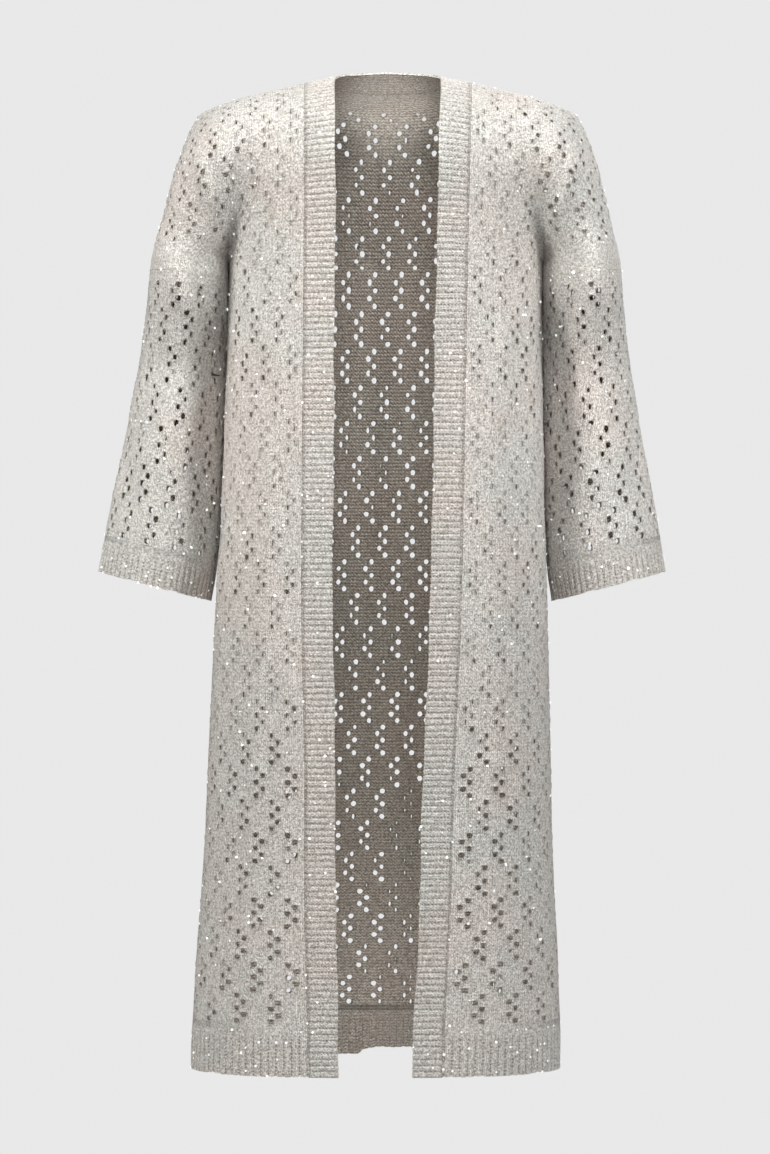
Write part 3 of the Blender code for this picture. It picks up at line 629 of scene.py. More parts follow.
def split(row, column):
    """A row up to one stitch before a column, and from one stitch after it."""
    keys = [key for key, _ in row]
    return row[: keys.index(column - 1) + 1], row[keys.index(column + 1) :]


def lace_row(cloth, down, cell, start, end, spread=1.0, aside=0.0, label=0):
    """Points of a row of plain stitches from start to end, on every column that has room between those two.

    The columns may lie aside of their usual places, and then have their own labels."""
    stitch = STITCH * spread
    first, last = int(np.ceil((start - aside) / stitch)), int(np.floor((end - aside) / stitch))
    places = {}
    for column in range(first, last + 1):
        across = column * stitch + aside
        if min(abs(across - start), abs(across - end)) > EDGE_ROOM * STITCH:
            places[column + label] = across
    for place in (start, end):
        nearest = round((place - aside) / stitch)
        taken = nearest + label in places or abs(nearest * stitch + aside - place) > ON_EDGE * STITCH
        places[("edge", place) if taken else nearest + label] = place
    row = []
    for key, across in sorted(places.items(), key=lambda item: item[1]):
        row.append((key, cloth.point(across, down, ((across - aside) / stitch, 2.0 * cell))))
    return row


def upper_lace_row(cloth, panel, whole, down, cell, spread):
    """A row above the underarm. Close to it, the stitches over the arm follow the armhole."""
    end = panel.top_width(down)
    if down < panel.underarm_down - ARM_COLUMNS_RUN:
        return lace_row(cloth, down, cell, -end if whole else 0.0, end, spread)
    aside = end - panel.top_width(panel.underarm_down - ARM_COLUMNS_RUN)
    inner, outer = panel.armhole_sides(down)
    row = lace_row(cloth, down, cell, -inner if whole else 0.0, inner, spread)
    arm = lace_row(cloth, down, cell, outer, end, spread, aside, ARM_LABEL)
    row += [item for item in arm if item[1] != row[-1][1]]
    if whole:
        arm = lace_row(cloth, down, cell, -end, -outer, spread, -aside, -ARM_LABEL)
        row = [item for item in arm if item[1] != row[0][1]] + row
    return row


def with_arm_labels(cloth, panel, row, down):
    """A row above the armhole's own columns, with the labels that its columns over the arm have below it."""
    labelled = []
    for key, number in row:
        place = cloth.places[number][0]
        if isinstance(key, int) and abs(place) > panel.cleft(down):
            key += ARM_LABEL if place > 0 else -ARM_LABEL
        labelled.append((key, number))
    return labelled


def in_parts(cloth, row, inner, outer):
    """The points of a row over the body, over the right arm and over the left arm."""
    placed = [(item, cloth.places[item[1]][0]) for item in row]
    body = [item for item, place in placed if abs(place) <= inner + CLOSE]
    return body, *([item for item, place in placed if side * place >= outer - CLOSE] for side in (-1, 1))


def strip_in_parts(cloth, panel, downs, upper, lower, gaps):
    """The cloth between two rows near the underarm: over the body, and over each arm."""
    slide = panel.top_width(downs[1]) - panel.top_width(downs[0])
    upper_body, *upper_arms = in_parts(cloth, upper, *panel.armhole_sides(downs[0]))
    lower_body, *lower_arms = in_parts(cloth, lower, *panel.armhole_sides(downs[1]))
    strip(cloth, upper_body, lower_body, gaps)
    arm_gaps = gaps if slide < MOST_SLIDE * STITCH else []
    for side, upper_arm, lower_arm in zip((-1, 1), upper_arms, lower_arms):
        if upper_arm:
            strip(cloth, upper_arm, lower_arm, arm_gaps, side * slide)
    right, left = lower_arms
    if left[0] != lower_body[-1]:
        cloth.faces.append((upper_body[-1][1], left[0][1], lower_body[-1][1]))
    if right and right[-1] != lower_body[0]:
        cloth.faces.append((upper_body[0][1], lower_body[0][1], right[-1][1]))


def cell_lines(start, end, fixed=None):
    """Lines between cells of two knitted rows, from the end of the lace up to the start of the cloth."""
    lines = [end]
    while lines[-1] > start:
        lines.append(lines[-1] - float(LACE_PITCH.at("pitch", max(lines[-1], 0.0))) / GROUP_CELLS)
    lines = np.array(lines[::-1])
    if fixed is not None:
        nearest = lines[np.argmin(np.abs(lines - fixed))]
        lines = np.interp(lines, (lines[0], nearest, lines[-1]), (lines[0], fixed, lines[-1]))
    lines = [line for line in lines if line > start + LEAST_CELL]
    return [start, *lines]


def group_gaps(cell_from_end, groups, start, half_aside, size_at):
    """The eyelets of one line of cells, as columns with their size and shift. Cells are counted from the end.

    The eyelets of a group lie in a zigzag, and each row of groups lies half a group aside of the last."""
    row, step = divmod(cell_from_end, GROUP_CELLS)
    aside = 1 if step % 2 == 0 else -1
    offset = GROUP_STITCHES // 2 * ((row + half_aside) % 2) + start + aside
    gaps = []
    for group in groups:
        column = group * GROUP_STITCHES + offset
        share = size_at(column) * RANDOM.uniform(*SIZE_VARIES)
        share *= FIRST_LARGER if step == 0 else 1.0
        share *= GROUP_SIZE + GROUP_VARIES * np.sin(GROUP_RATE * group + ROW_RATE * row)
        if RANDOM.random() < SMALL_CHANCE:
            share *= SMALL_SIZE
        slit = np.clip(SLIT_RISE * share - SLIT_START, SLIT_LEAST, 1.0)
        size = (EYELET * share * slit, EYELET * np.sqrt(share) * RANDOM.uniform(*TALL_VARIES))
        gaps.append((column, size, RANDOM.uniform(-WANDER, WANDER) - ZIGZAG * aside))
    return gaps


# The height of a rib over its own width, from furrow to furrow
RIB_SHAPE = ((0.0, 0.0), (0.10, 0.12), (0.22, 0.72), (0.36, 1.0), (0.64, 1.0), (0.78, 0.72), (0.90, 0.12))


def rib_places(width, ribs, start=0.0):
    """Places across an edge that shape its ribs, with the stitch and the height (0 to 1) of each."""
    parts = [(rib + part, up) for rib in range(ribs) for part, up in RIB_SHAPE] + [(ribs, 0.0)]
    return [(start + width * part / ribs, part * RIB_STITCHES, up) for part, up in parts]


def rib_rows(cloth, ribs, top, end, cell, lift, count):
    """The ribbed rows of a hem or cuff, from its top to its edge, which has its own lift at each place."""
    rows = []
    for down in (top, top + RIB_FADE, *np.linspace(top + RIB_FADE, end, count)[1:]):
        row = []
        for across, stitch, up in ribs:
            scallop = SCALLOP * (up - SCALLOP_MIDDLE) if down == end else 0.0
            place = down - lift(across) * (down - top) / (end - top) + scallop
            v = 2.0 * cell + (down - top) / STITCH
            row.append((None, cloth.point(across, place, (stitch, v), rib=-1.0 if down == top else up)))
        rows.append(row)
    for upper, lower in zip(rows, rows[1:]):
        cloth.bridge(upper, lower)
    return rows[0]


def wavy(across, waves):
    """How far some waves lift an edge at a place."""
    return sum(height * np.sin(across * rate + start) for height, rate, start in waves)


def hem_lift(across, width, whole):
    """How far the hem rises off its line: at its rounded corners, in waves and at the back's step."""
    corner = np.clip((abs(across) - (width - HEM_CORNER)) / HEM_CORNER, 0, 1) ** 2 * HEM_CORNER_RISE
    lift = corner + wavy(across, HEM_WAVES)
    if whole:
        step = smooth((across - STEP_START) / STEP_RUN) * np.clip((STEP_END - across) / STEP_FADE, 0, 1)
        lift += STEP_RISE * step
    return lift


def weave_panel(panels, ribs):
    """The flat cloth of a front, or of the whole back when it has two panels, one for each half."""
    cloth, panel, whole = Knit(), panels[-1], len(panels) == 2
    underarm, width = panel.underarm_down, panel.body_width
    hem_top = panel.hem_down - HEM_RIB_HEIGHT
    lines = cell_lines(0.0, hem_top - LACE_END, underarm)
    spreads = [BACK_SPREAD + TOP_SPREAD * np.exp(-down / TOP_SPREAD_RUN) if whole else 1.0 for down in lines]
    at_underarm = int(np.argmin(np.abs(np.array(lines) - underarm)))
    rows = []
    for index, down in enumerate(lines[: at_underarm + 1]):
        rows.append(upper_lace_row(cloth, panel, whole, down, index, spreads[index]))
    for index in range(at_underarm):
        gaps = panel_gaps(panel, lines, index, whole) if lines[index] > TOP_PLAIN else []
        upper, lower = rows[index : index + 2]
        if lines[index] >= underarm - ARM_COLUMNS_RUN:
            strip_in_parts(cloth, panel, lines[index : index + 2], upper, lower, gaps)
            continue
        if lines[index + 1] >= underarm - ARM_COLUMNS_RUN:
            upper = with_arm_labels(cloth, panel, upper, lines[index + 1])
        strip(cloth, upper, lower, gaps)
    body = [item for item in rows[-1] if abs(cloth.places[item[1]][0]) <= width + CLOSE]
    for index in range(at_underarm, len(lines) - 1):
        down, spread = lines[index + 1], spreads[index + 1]
        row = lace_row(cloth, down, index + 1, -width if whole else 0.0, width, spread)
        strip(cloth, body, row, panel_gaps(panel, lines, index, whole))
        body = row

    def lift(across):
        return hem_lift(across, width, whole)

    cloth.bridge(body, rib_rows(cloth, ribs, hem_top, panel.hem_down, len(lines), lift, HEM_ROWS))
    for side in (-1, 1) if whole else (1,):
        arm = [item for item in rows[-1] if side * cloth.places[item[1]][0] >= panel.arm_start - CLOSE]
        for part in (1, 2):
            down = underarm + (panel.ring_down - underarm) * part / 2
            row = []
            for key, number in arm:
                across, u = cloth.places[number][0], cloth.stitches[number][0]
                row.append((key, cloth.point(across, down, (u, 2.0 * (at_underarm + part)))))
            cloth.bridge(arm, row)
            arm = row
    return cloth


def panel_gaps(panel, lines, index, whole):
    """The eyelets between two lines of a panel."""
    height = UNDERARM_HEIGHT + panel.underarm_down - lines[index]

    def size_at(column):
        across = column * STITCH
        if whole:
            return BACK_OPENNESS if across < CLOSED_ACROSS or height > CLOSED_HEIGHT else CLOSED_OPENNESS
        near = 1 / (1 + np.exp(np.clip((across - NEAR_BAND) / NEAR_BAND_RUN, -30, 30)))
        return OPENNESS.at("near", height) * near + OPENNESS.at("far", height) * (1 - near)

    start, half_aside = (0, 0) if whole else (LACE_START_STITCHES, 1)
    gaps = group_gaps(len(lines) - 2 - index, BODY_GROUPS, start, half_aside, size_at)
    if not panel.underarm_down - ARM_COLUMNS_RUN < lines[index + 1] <= panel.underarm_down + CLOSE:
        return gaps
    edge = panel.cleft(lines[index]) / STITCH - 2
    body = [gap for gap in gaps if abs(gap[0]) < edge]
    return body + [(column + int(np.sign(column)) * ARM_LABEL, *rest) for column, *rest in gaps]


def weave_sleeve(half):
    """One flat sleeve, from its seam under the arm all round to that seam again."""
    cloth = Knit()
    top_of_rib = half.length - CUFF_RIB_HEIGHT
    lines = cell_lines(0.0, top_of_rib - LACE_END)
    rows = [lace_row(cloth, down, index, 0.0, 2 * half.width) for index, down in enumerate(lines)]
    for index, (upper, lower) in enumerate(zip(rows, rows[1:])):
        gaps, from_end = [], len(lines) - 2 - index
        if lines[index] > SLEEVE_TOP_PLAIN:
            gaps = group_gaps(from_end, SLEEVE_GROUPS, LACE_START_STITCHES, 0, lambda column: SLEEVE_OPENNESS)
        strip(cloth, upper, lower, gaps)

    def lift(across):
        return wavy(across, CUFF_WAVES)

    ribs = rib_places(2 * half.width, SLEEVE_RIBS)
    cloth.bridge(rows[-1], rib_rows(cloth, ribs, top_of_rib, half.length, len(lines), lift, CUFF_ROWS))
    return cloth


def weave_band(length, ribs):
    """The band as a flat strip: across runs along its length, and down from its seam to its free edge."""
    cloth, rows = Knit(), []
    for index in range(BAND_STEPS + 1):
        down = BAND_WIDTH * index / BAND_STEPS
        row = []
        for across, stitch, up in rib_places(length, ribs):
            place = down
            if index == 0 and up == 0:
                place += PICK_UP * RANDOM.uniform(*PICK_UP_VARIES)
            if index == BAND_STEPS:
                wave = np.sin(across * SHORT_RATE) * np.sin(across * LONG_RATE + 1)
                place += BAND_SCALLOP * (up - 0.5) - BAND_WAVE * (1 + wave)
            row.append((None, cloth.point(across, place, (stitch, down / STITCH), rib=up if index else 0.0)))
        rows.append(row)
    for upper, lower in zip(rows, rows[1:]):
        cloth.bridge(upper, lower)
    return cloth


def noise_waves():
    """The waves of the cloth's small unevenness, shared by all the pieces."""
    waves = []
    for _ in range(UNEVEN_WAVES):
        wave = RANDOM.normal(size=3)
        wave = wave / np.linalg.norm(wave) / RANDOM.uniform(*PERIOD_VARIES)
        waves.append((wave, RANDOM.uniform(0, 2 * np.pi)))
    return waves


WAVES = noise_waves()


def uneven_rise(points):
    """Uneven but smooth rises over space."""
    total = sum(np.sin(points @ wave * 2 * np.pi / UNEVEN_PERIOD + phase) for wave, phase in WAVES)
    return UNEVEN_RISE * total / len(WAVES)


def crease_rise(points):
    """How far the creases lift the cloth at each placed point. Their lines waver a little."""
    x, y, z = points.T
    rise = np.zeros(len(points))
    facing = y - swing(z) * (np.abs(x) > SLEEVE_OUT)
    for face, *line, width, most in CREASES:
        share, aside = beside_line(line, x, z)
        aside = aside + CREASE_WAVE * np.sin(CREASE_WAVES * share * np.pi + CREASE_PHASE * line[0])
        strength = np.sin(np.pi * np.clip(share, 0, 1)) ** CREASE_ENDS
        strength = strength * np.clip(face * facing / CREASE_TURN, 0, 1)
        rise += most * strength * np.exp(-((aside / width) ** 2))
    return np.where(rise < 0, DEEPEST * np.tanh(rise / DEEPEST), rise)


def vertex_normals(points, faces):
    """Normals of a surface at its points, weighted by face area."""
    normals = np.zeros_like(points)
    for count in (3, 4):
        some = np.array([face for face in faces if len(face) == count])
        if len(some):
            a, b, c, d = (points[some[:, k]] for k in (0, 1, 2, -1))
            for corner in range(count):
                np.add.at(normals, some[:, corner], np.cross(c - a, d - b))
    return normals / np.maximum(np.linalg.norm(normals, axis=1, keepdims=True), 1e-12)


def boundary_edges(faces):
    """The directed edges that only one face has."""
    edges = dict.fromkeys(edge for face in faces for edge in zip(face, face[1:] + face[:1]))
    return [edge for edge in edges if edge[::-1] not in edges]


def sharpen(mesh, borders, count):
    """Keeps the cut borders of a shell crisp, on its inside and its outside."""
    cut = {(min(edge) + layer, max(edge) + layer) for edge in borders for layer in (0, count)}
    sharp = [tuple(sorted(edge.vertices)) in cut for edge in mesh.edges]
    mesh.attributes.new("sharp_edge", "BOOLEAN", "EDGE").data.foreach_set("value", sharp)


def add(name, data):
    """An object in the scene."""
    piece = bpy.data.objects.new(name, data)
    bpy.context.scene.collection.objects.link(piece)
    return piece


def shell(name, cloth, points, faces_out, material, ridge=None):
    """A closed thin shell on the placed points, and its outside: points, normals and which lie round eyelets.

    faces_out says which way it looks, in all or at each point. ridge is how far points are from a seam."""
    faces = cloth.faces
    normals = vertex_normals(points, faces)
    if np.sum(normals * np.array(faces_out)) < 0:
        faces = [tuple(reversed(face)) for face in faces]
        normals = -normals
    rims, ribs = np.array(cloth.rims), np.array(cloth.ribs)
    points = points + normals * (crease_rise(points) + uneven_rise(points))[:, None]
    normals = vertex_normals(points, faces)
    thickness = WALL + RANDOM.uniform(-LUMP, LUMP, len(points)) + RIM_RISE * rims
    if ridge is not None:
        thickness = thickness + SEAM_RIDGE * np.exp(-((ridge / SEAM_RIDGE_RUN) ** 2))
    thickness = np.where(ribs >= 0, RIB_FOOT + (RIB_TOP - RIB_FOOT) * ribs, thickness)
    outer = points + normals * thickness[:, None]
    count, borders = len(points), boundary_edges(faces)
    shell_faces = [tuple(number + count for number in face) for face in faces]
    shell_faces += [tuple(reversed(face)) for face in faces]
    shell_faces += [(end + count, start + count, start, end) for start, end in borders]
    mesh = bpy.data.meshes.new(name)
    mesh.from_pydata(np.concatenate((points, outer)).tolist(), [], shell_faces)
    mesh.shade_smooth()
    sharpen(mesh, [edge for edge in borders if rims[edge[0]] < 0.5], count)
    loops = np.zeros(len(mesh.loops), np.int32)
    mesh.loops.foreach_get("vertex_index", loops)
    stitches = np.array(cloth.stitches * 2, np.float32)[loops]
    mesh.uv_layers.new(name="Stitch").data.foreach_set("uv", stitches.ravel())
    purl = np.where(ribs >= 0, np.clip(1 - PURL_FURROW * ribs, 0, 1), 0)
    # Painted shade: how dark the colour gets in the ribs' furrows and round the eyelets
    dark = np.where(ribs >= 0, np.clip(1 - DARK_FURROW * ribs, 0, 1), RIM_SHADE * rims)
    # inside marks the inner layer, which the yarn lightens with painted light
    pairs = {"purl": (1 - purl, purl), "inside": (np.ones(count), np.zeros(count)), "furrow": (dark, dark)}
    for label, (inside, outside) in pairs.items():
        values = np.concatenate((inside, outside)).astype(np.float32)
        mesh.attributes.new(label, "FLOAT", "POINT").data.foreach_set("value", values)
    mesh.materials.append(material)
    return add(name, mesh), (outer, normals, rims)


class Nodes:
    """Short calls for the nodes of one material."""

    def __init__(self, name):
        self.material = bpy.data.materials.new(name)
        self.material.use_nodes = True
        self.tree = self.material.node_tree
        self.shader = self.tree.nodes["Principled BSDF"]

    def new(self, kind, settings=None, **inputs):
        node = self.tree.nodes.new(kind)
        for key, value in (settings or {}).items():
            setattr(node, key, value)
        self.feed(node, inputs)
        return node

    def feed(self, node, inputs):
        """Sets or links a node's inputs by name or number."""
        for key, value in inputs.items():
            socket = node.inputs[key.replace("_", " ") if isinstance(key, str) else key]
            if isinstance(value, bpy.types.NodeSocket):
                self.tree.links.new(value, socket)
            else:
                socket.default_value = value

    def math(self, operation, *values):
        node = self.new("ShaderNodeMath", {"operation": operation})
        self.feed(node, dict(enumerate(values)))
        return node.outputs[0]

    def hump(self, share):
        """A half round over a share of 0 to 1."""
        fall = self.math("POWER", self.math("MULTIPLY_ADD", share, 2.0, -1.0), 2.0)
        return self.math("SQRT", self.math("MAXIMUM", self.math("SUBTRACT", 1.0, fall), 0.0))

    def mix(self, share, first, second):
        """One number between two."""
        node = self.new("ShaderNodeMix")
        self.feed(node, {0: share, 2: first, 3: second})
        return node.outputs[0]

    def blend(self, share, first, second, kind="MIX"):
        """One colour between two."""
        node = self.new("ShaderNodeMix", {"data_type": "RGBA", "blend_type": kind})
        self.feed(node, {0: share, 6: first, 7: second})
        return node.outputs[2]

    def ramp(self, value, *stops):
        """Colours, or greys, over a number."""
        node = self.new("ShaderNodeValToRGB", Fac=value)
        elements = node.color_ramp.elements
        while len(elements) < len(stops):
            elements.new(0.5)
        for element, (place, colour) in zip(elements, stops):
            element.position = place
            element.color = (*colour, 1) if isinstance(colour, tuple) else (*[colour] * 3, 1)
        return node.outputs[0]

    def noise(self, scale, detail=2.0, roughness=0.5, output="Fac"):
        """Noise over the object's own space."""
        place = self.new("ShaderNodeTexCoord").outputs["Object"]
        inputs = {"Vector": place, "Scale": scale, "Detail": detail, "Roughness": roughness}
        return self.new("ShaderNodeTexNoise", **inputs).outputs[output]

    def attribute(self, name):
        return self.new("ShaderNodeAttribute", {"attribute_name": name}).outputs["Fac"]

    def first_two(self, vector):
        return self.new("ShaderNodeSeparateXYZ", Vector=vector).outputs[:2]


# Yarn colours, dark to light, the lightest partly painted glints; the painted light on its inside, which is
# also a little warmer; and the painted shade in its furrows and its crevices
YARN_DARK = (0.190, 0.172, 0.155)
YARN_MIDDLE = (0.450, 0.420, 0.385)
YARN_LIGHT = (0.760, 0.735, 0.700)
YARN_FLECK_AND_GLINT = (0.95, 0.94, 0.92)
INSIDE_TINT_AND_PAINTED_LIGHT = (1.06, 1.01, 0.96, 1)
FURROW_PAINTED_SHADE, FURROW_SHADE_SHARE = (0.42, 0.39, 0.36, 1), 0.62
CREVICE_PAINTED_SHADE, CREVICE_SHADE_SHARE = (0.44, 0.42, 0.40), 0.80
COOL_TONE, WARM_TONE = (0.96, 0.985, 0.975), (1.0, 0.965, 0.945)
# The yarn's grain, slubs, cloudiness and wobble, as scales of noise, and its relief
GRAIN, SLUB, CLOUD, WOBBLE_SCALE = 900.0, 380.0, 9.0, 170.0
GRAIN_SHARE, SLUB_SHARE, GRAIN_RISE = 0.62, 0.38, 0.55
WOBBLE, RELIEF = 0.38, 0.0009
LEG_SLANT, PURL_WAVE = 0.62, 0.17


def knit_height(nodes, u, v):
    """The relief of stocking stitch: two slanted legs to a stitch."""
    middle = nodes.math("SUBTRACT", nodes.math("FRACT", u), 0.5)
    side = nodes.math("MULTIPLY", nodes.math("ABSOLUTE", middle), 2.0)
    phase = nodes.math("FRACT", nodes.math("MULTIPLY_ADD", side, LEG_SLANT, v))
    return nodes.math("MULTIPLY", nodes.hump(side), nodes.math("MULTIPLY_ADD", nodes.hump(phase), 0.65, 0.35))


def purl_height(nodes, u, v):
    """The relief of the reverse side: short bumps in wavy rows."""
    wave = nodes.math("COSINE", nodes.math("MULTIPLY", u, 2 * np.pi))
    place = nodes.math("MULTIPLY", nodes.math("MULTIPLY_ADD", wave, PURL_WAVE, v), 2 * np.pi)
    row = nodes.math("MULTIPLY_ADD", nodes.math("COSINE", place), 0.5, 0.5)
    return nodes.math("MULTIPLY", row, nodes.math("MULTIPLY_ADD", wave, 0.15, 0.85))


def yarn_material():
    """Marled, slightly metallic slub yarn, knitted. The stitch pattern follows the pieces' own stitches. Its
    colour carries painted shade in crevices, furrows and round the eyelets, painted light on the inside, and
    painted glints.
    """
    nodes = Nodes("marled_yarn")
    stitch = nodes.new("ShaderNodeUVMap", {"uv_map": "Stitch"}).outputs[0]
    purl, inside, furrow = (nodes.attribute(name) for name in ("purl", "inside", "furrow"))
    places = []
    wobbles = nodes.first_two(nodes.noise(WOBBLE_SCALE, 1.0, output="Color"))
    for place, wobble in zip(nodes.first_two(stitch), wobbles):
        aside = nodes.math("MULTIPLY", nodes.math("SUBTRACT", wobble, 0.5), WOBBLE)
        places.append(nodes.math("ADD", place, aside))
    relief = nodes.mix(purl, knit_height(nodes, *places), purl_height(nodes, *places))
    grain, slub = nodes.noise(GRAIN, 3.0, 0.65), nodes.noise(SLUB)
    tone = nodes.math("MULTIPLY_ADD", slub, SLUB_SHARE, nodes.math("MULTIPLY", grain, GRAIN_SHARE))
    # The lightest flecks are near-white yarn and partly painted glints, where the roughness also drops
    colour = nodes.ramp(tone, (0.34, YARN_DARK), (0.46, YARN_MIDDLE), (0.56, YARN_LIGHT), (0.68, YARN_FLECK_AND_GLINT))
    # Painted shade: the colour darkens where the stitch relief sinks, in the crevices between stitches
    crevice_shade = nodes.ramp(relief, (0.0, CREVICE_PAINTED_SHADE), (0.50, 1.0))
    colour = nodes.blend(CREVICE_SHADE_SHARE, colour, crevice_shade, "MULTIPLY")
    cloud = nodes.ramp(nodes.noise(CLOUD), (0.38, COOL_TONE), (0.62, WARM_TONE))
    colour = nodes.blend(1.0, colour, cloud, "MULTIPLY")
    # Painted light: the inner layer is brightened against the shade inside the garment, and made a little
    # warmer
    colour = nodes.blend(inside, colour, nodes.blend(1.0, colour, INSIDE_TINT_AND_PAINTED_LIGHT, "MULTIPLY"))
    # Painted shade in the ribs' furrows and round the eyelets
    dark = nodes.blend(1.0, colour, FURROW_PAINTED_SHADE, "MULTIPLY")
    colour = nodes.blend(nodes.math("MULTIPLY", furrow, FURROW_SHADE_SHARE), colour, dark)
    height = nodes.math("MULTIPLY_ADD", grain, GRAIN_RISE, relief)
    bump = nodes.new("ShaderNodeBump", Strength=1.0, Distance=RELIEF, Height=height).outputs["Normal"]
    rough = nodes.ramp(grain, (0.35, 0.68), (0.7, 0.38))
    gloss = {"Roughness": rough, "Metallic": 0.12, "Sheen Weight": 0.15}
    nodes.feed(nodes.shader, {"Base Color": colour, "Normal": bump, **gloss})
    return nodes.material


def sequin_material():
    """Clear silver discs with a slightly uneven gloss, and a faint glow that is a painted glint."""
    nodes = Nodes("sequin")
    grain = nodes.noise(GRAIN)
    colour = nodes.ramp(grain, (0.3, (0.86, 0.85, 0.83)), (0.7, (0.98, 0.98, 0.97)))
    rough = nodes.ramp(grain, (0.3, 0.10), (0.7, 0.28))
    # Painted glint: the discs glow a little, though they are no lamps
    painted_glint_glow = {"Emission Color": (1, 0.99, 0.97, 1), "Emission Strength": 0.55}
    nodes.feed(nodes.shader, {"Base Color": colour, "Roughness": rough, "Metallic": 0.35, **painted_glint_glow})
    return nodes.material


def dress(piece, nodes):
    """Hangs a piece of cloth on the root and hides the parts of the solids that it stands for."""
    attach(piece, "root")
    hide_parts(*nodes)


def make_panel(node, panels, ribs, material):
    """A front, or the back from its right and left half."""
    cloth, panel = weave_panel(panels, ribs), panels[-1]
    across, down = np.array(cloth.places).T
    points = panel.place(np.abs(across), down)
    if len(panels) == 2:
        points = np.where((across < 0)[:, None], panels[0].place(np.abs(across), down), points)
    on_arm = np.abs(across) >= panel.arm_start - CLOSE
    ridge = np.minimum(down, np.where(on_arm, np.abs(panel.ring_down - down), 1.0))
    piece, outside = shell("knit_" + node, cloth, points, (0, FORWARD[panel.face], 0), material, ridge)
    flat = (panel.top_width(panel.underarm_down) * len(panels), panel.hem_down)
    dress(piece, [node])
    return outside


def make_sleeve(word, side, material):
    """One sleeve, a tube with its seam under the arm, in place of the two halves that the solids have."""
    front, back = SleeveHalf("front", side), SleeveHalf("back", side)
    cloth = weave_sleeve(front)
    across, down = np.array(cloth.places).T
    in_front = across <= front.width
    behind = back.place(2 * back.width - across, down)
    points = np.where(in_front[:, None], front.place(across, down), behind)
    faces_out = np.where(in_front, -1.0, 1.0)[:, None] * (0, 1, 0)
    piece, outside = shell("knit_sleeve_" + word, cloth, points, faces_out, material, down)
    nodes = (f"sleeve_{word}_front", f"sleeve_{word}_back")
    dress(piece, nodes)
    return outside


def make_band(material):
    """The one strip of ribs round the open front and the neck."""
    seam, free = band_lines()
    run = run_along((seam + free) / 2)
    cloth = weave_band(run[-1], round(run[-1] / BAND_RIB))
    across, down = np.array(cloth.places).T
    start, end = at_run(across, run, seam), at_run(across, run, free)
    toward = (end - start) / np.linalg.norm(end - start, axis=1, keepdims=True)
    gap = np.where(start[:, 1] > 0, NECK_SEAM_GAP, SEAM_GAP)
    share = (down / BAND_WIDTH)[:, None]
    points = start + toward * gap[:, None] * (1 - share) + (end - start) * share
    piece, outside = shell("knit_band", cloth, points, (0, -1, 0), material)
    dress(piece, ["band"])
    return outside


def make_sequins(surfaces, material):
    """Tiny discs knitted in with the yarn, lying on the outside, each tilted its own way."""
    angles = 2 * np.pi * np.arange(SEQUIN_SIDES)[:, None] / SEQUIN_SIDES
    points, faces = [], []
    for (outer, normals, rims), count in surfaces:
        for number in RANDOM.choice(np.flatnonzero(rims < 0.5), count, replace=False):
            normal = normals[number] + RANDOM.normal(scale=SEQUIN_TILT, size=3)
            normal /= np.linalg.norm(normal)
            side = np.cross(normal, (0.3, 0.2, 1.0))
            side /= np.linalg.norm(side)
            ring = side * np.cos(angles) + np.cross(normal, side) * np.sin(angles)
            ring = outer[number] + normals[number] * SEQUIN_RISE + ring * RANDOM.uniform(*SEQUIN_RADIUS)
            low = range(len(points), len(points) + SEQUIN_SIDES)
            high = range(low.stop, low.stop + SEQUIN_SIDES)
            points += [*(ring - normal * SEQUIN_HALF), *(ring + normal * SEQUIN_HALF)]
            faces += [tuple(reversed(low)), tuple(high)]
            for k in range(SEQUIN_SIDES):
                after = (k + 1) % SEQUIN_SIDES
                faces.append((low[k], low[after], high[after], high[k]))
    mesh = bpy.data.meshes.new("sequins")
    mesh.from_pydata(np.array(points).tolist(), [], faces)
    mesh.materials.append(material)
    piece = add("sequins", mesh)
    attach(piece, "root")


# The camera: a long lens level with the middle of the garment
CAMERA_PLACE = (0.0011, -5.0, -0.557)
LENS, SENSOR = 138.7, 36.0
# The backdrop's tone, what it lights the garment with, and the floor's size and height
BACKDROP, BACKDROP_LIGHT = 0.812, 0.14
FLOOR_RADIUS, FLOOR_HEIGHT, FLOOR_SIDES = 2.6, -1.75, 64
# Area lights: name, place, target, size, power and tint
LAMPS = (
    ("key", (-2.1, -1.6, 1.0), (-0.2, 0, -0.25), 1.1, 75, (1.0, 0.985, 0.965)),
    ("second", (2.15, -1.6, 0.95), (0.2, 0, -0.25), 1.1, 67, (0.98, 0.99, 1.0)),
    ("front", (0.05, -1.5, 1.5), (0, 0, 0), 0.7, 22, (1, 1, 1)),
    ("top", (0.0, -0.25, 1.9), (0, 0, -0.2), 1.2, 22, (1, 1, 1)),
    ("rear", (0.6, 2.8, 0.6), (0, 0, -0.5), 2.0, 26, (1, 1, 1)),
)
# Narrow lights into the neck and on the sleeves: name, place, target, power, spread and softness
SPOTS = (
    ("neck", (0.004, -2.6, -0.9), (0.004, 0.07, -0.02), 300, 3.0, 0.02),
    ("arm_right", (-0.9, -2.5, -0.2), (-0.265, 0, -0.36), 78, 13.0, 0.15),
    ("arm_left", (0.9, -2.5, -0.2), (0.265, 0, -0.36), 82, 13.0, 0.15),
)


def make_camera():
    data = bpy.data.cameras.new("camera")
    data.lens, data.sensor_width = LENS, SENSOR
    camera = add("camera", data)
    camera.location = CAMERA_PLACE
    camera.rotation_euler = (np.pi / 2, 0, 0)
    bpy.context.scene.camera = camera


def make_light(name, kind, place, target, power):
    """A light that points at a target."""
    data = bpy.data.lights.new(name, kind)
    data.energy = power
    light = add(name, data)
    light.location = place
    light.rotation_euler = (Vector(target) - Vector(place)).to_track_quat("-Z", "Y").to_euler()
    return data


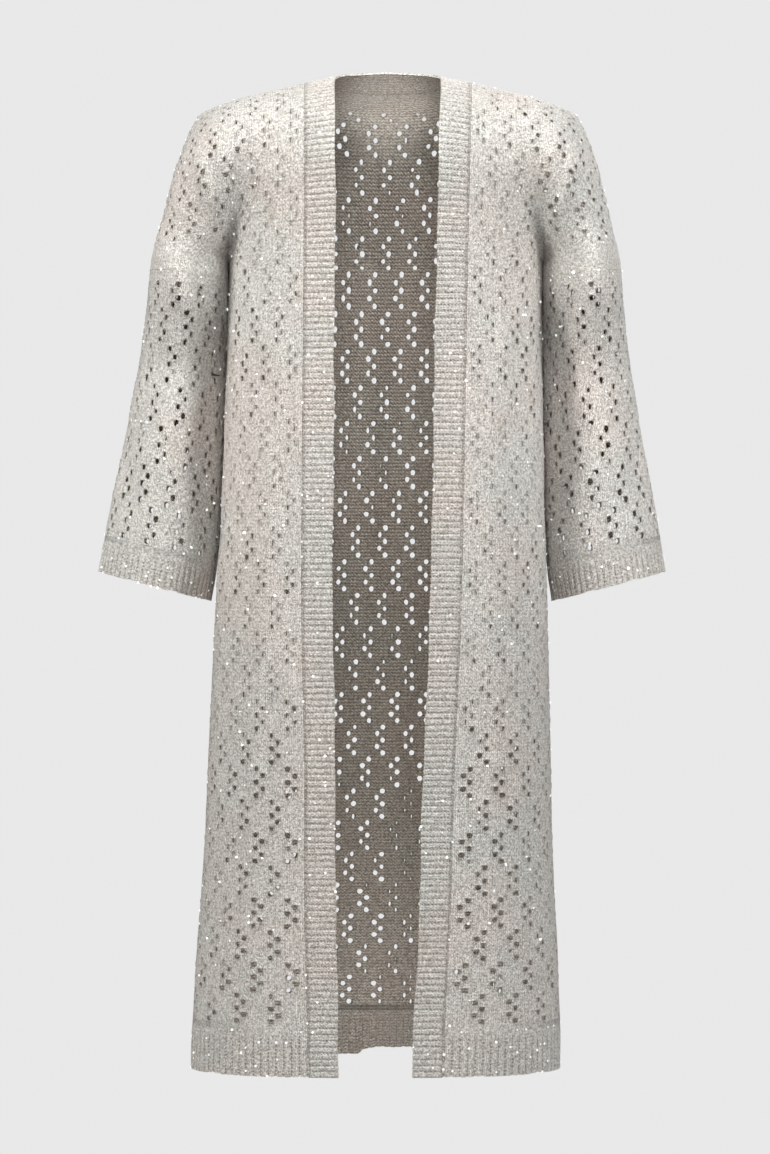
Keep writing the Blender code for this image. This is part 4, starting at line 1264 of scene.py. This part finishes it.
def make_lights():
    for name, place, target, size, power, tint in LAMPS:
        data = make_light(name, "AREA", place, target, power)
        data.shape, data.size, data.color = "DISK", size, tint
    for name, place, target, power, spread, softness in SPOTS:
        data = make_light(name, "SPOT", place, target, power)
        data.spot_size, data.spot_blend, data.shadow_soft_size = np.radians(spread), 1.0, softness


def make_world():
    """A pale even backdrop. It lights the garment less than it shows."""
    world = bpy.data.worlds.new("studio")
    world.use_nodes = True
    tree = world.node_tree
    background = tree.nodes["Background"]
    background.inputs["Color"].default_value = (1, 1, 1, 1)
    path = tree.nodes.new("ShaderNodeLightPath")
    strength = tree.nodes.new("ShaderNodeMix")
    strength.inputs[2].default_value = BACKDROP_LIGHT
    strength.inputs[3].default_value = BACKDROP
    tree.links.new(path.outputs["Is Camera Ray"], strength.inputs[0])
    tree.links.new(strength.outputs[0], background.inputs["Strength"])
    bpy.context.scene.world = world


def make_floor():
    """A pale floor well below the hem, which fades into the backdrop."""
    nodes = Nodes("studio_floor")
    far = nodes.new("ShaderNodeVectorMath", {"operation": "LENGTH"})
    nodes.feed(far, {0: nodes.new("ShaderNodeTexCoord").outputs["Object"]})
    colour = nodes.ramp(nodes.noise(40.0), (0.3, 0.80), (0.7, 0.83))
    share = nodes.math("DIVIDE", far.outputs["Value"], FLOOR_RADIUS)
    alpha = nodes.ramp(share, (0.35, 1), (0.98, 0))
    nodes.feed(nodes.shader, {"Base Color": colour, "Roughness": 0.9, "Alpha": alpha})
    mesh = bpy.data.meshes.new("floor")
    angles = 2 * np.pi * np.arange(FLOOR_SIDES) / FLOOR_SIDES
    ring = [(FLOOR_RADIUS * np.cos(angle), FLOOR_RADIUS * np.sin(angle), 0) for angle in angles]
    mesh.from_pydata(ring, [], [tuple(range(FLOOR_SIDES))])
    mesh.materials.append(nodes.material)
    floor = add("floor", mesh)
    floor.location = (0, 0, FLOOR_HEIGHT)


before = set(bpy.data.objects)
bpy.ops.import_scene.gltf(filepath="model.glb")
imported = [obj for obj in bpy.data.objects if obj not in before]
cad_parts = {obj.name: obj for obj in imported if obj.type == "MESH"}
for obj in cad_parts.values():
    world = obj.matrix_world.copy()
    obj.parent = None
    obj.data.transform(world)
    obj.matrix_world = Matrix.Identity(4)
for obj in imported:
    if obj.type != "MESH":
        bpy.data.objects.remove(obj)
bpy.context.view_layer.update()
make_camera()
make_world()
make_floor()
make_lights()

yarn = yarn_material()
sides = {"right": -1, "left": 1}
surfaces = []
for word, side in sides.items():
    panel = Panel("front", side)
    ribs = rib_places(panel.body_width, FRONT_RIBS)
    outside = make_panel("front_" + word, [panel], ribs, yarn)
    surfaces.append((outside, SEQUINS["front"]))
halves = [Panel("back", side) for side in sides.values()]
ribs = rib_places(2 * halves[0].body_width, BACK_RIBS, -halves[0].body_width)
outside = make_panel("back", halves, ribs, yarn)
surfaces.append((outside, SEQUINS["back"]))
for word, side in sides.items():
    surfaces.append((make_sleeve(word, side, yarn), SEQUINS["sleeve"]))
surfaces.append((make_band(yarn), SEQUINS["band"]))
make_sequins(surfaces, sequin_material())

view = bpy.context.scene.view_settings
view.view_transform, view.look = "Standard", "None"
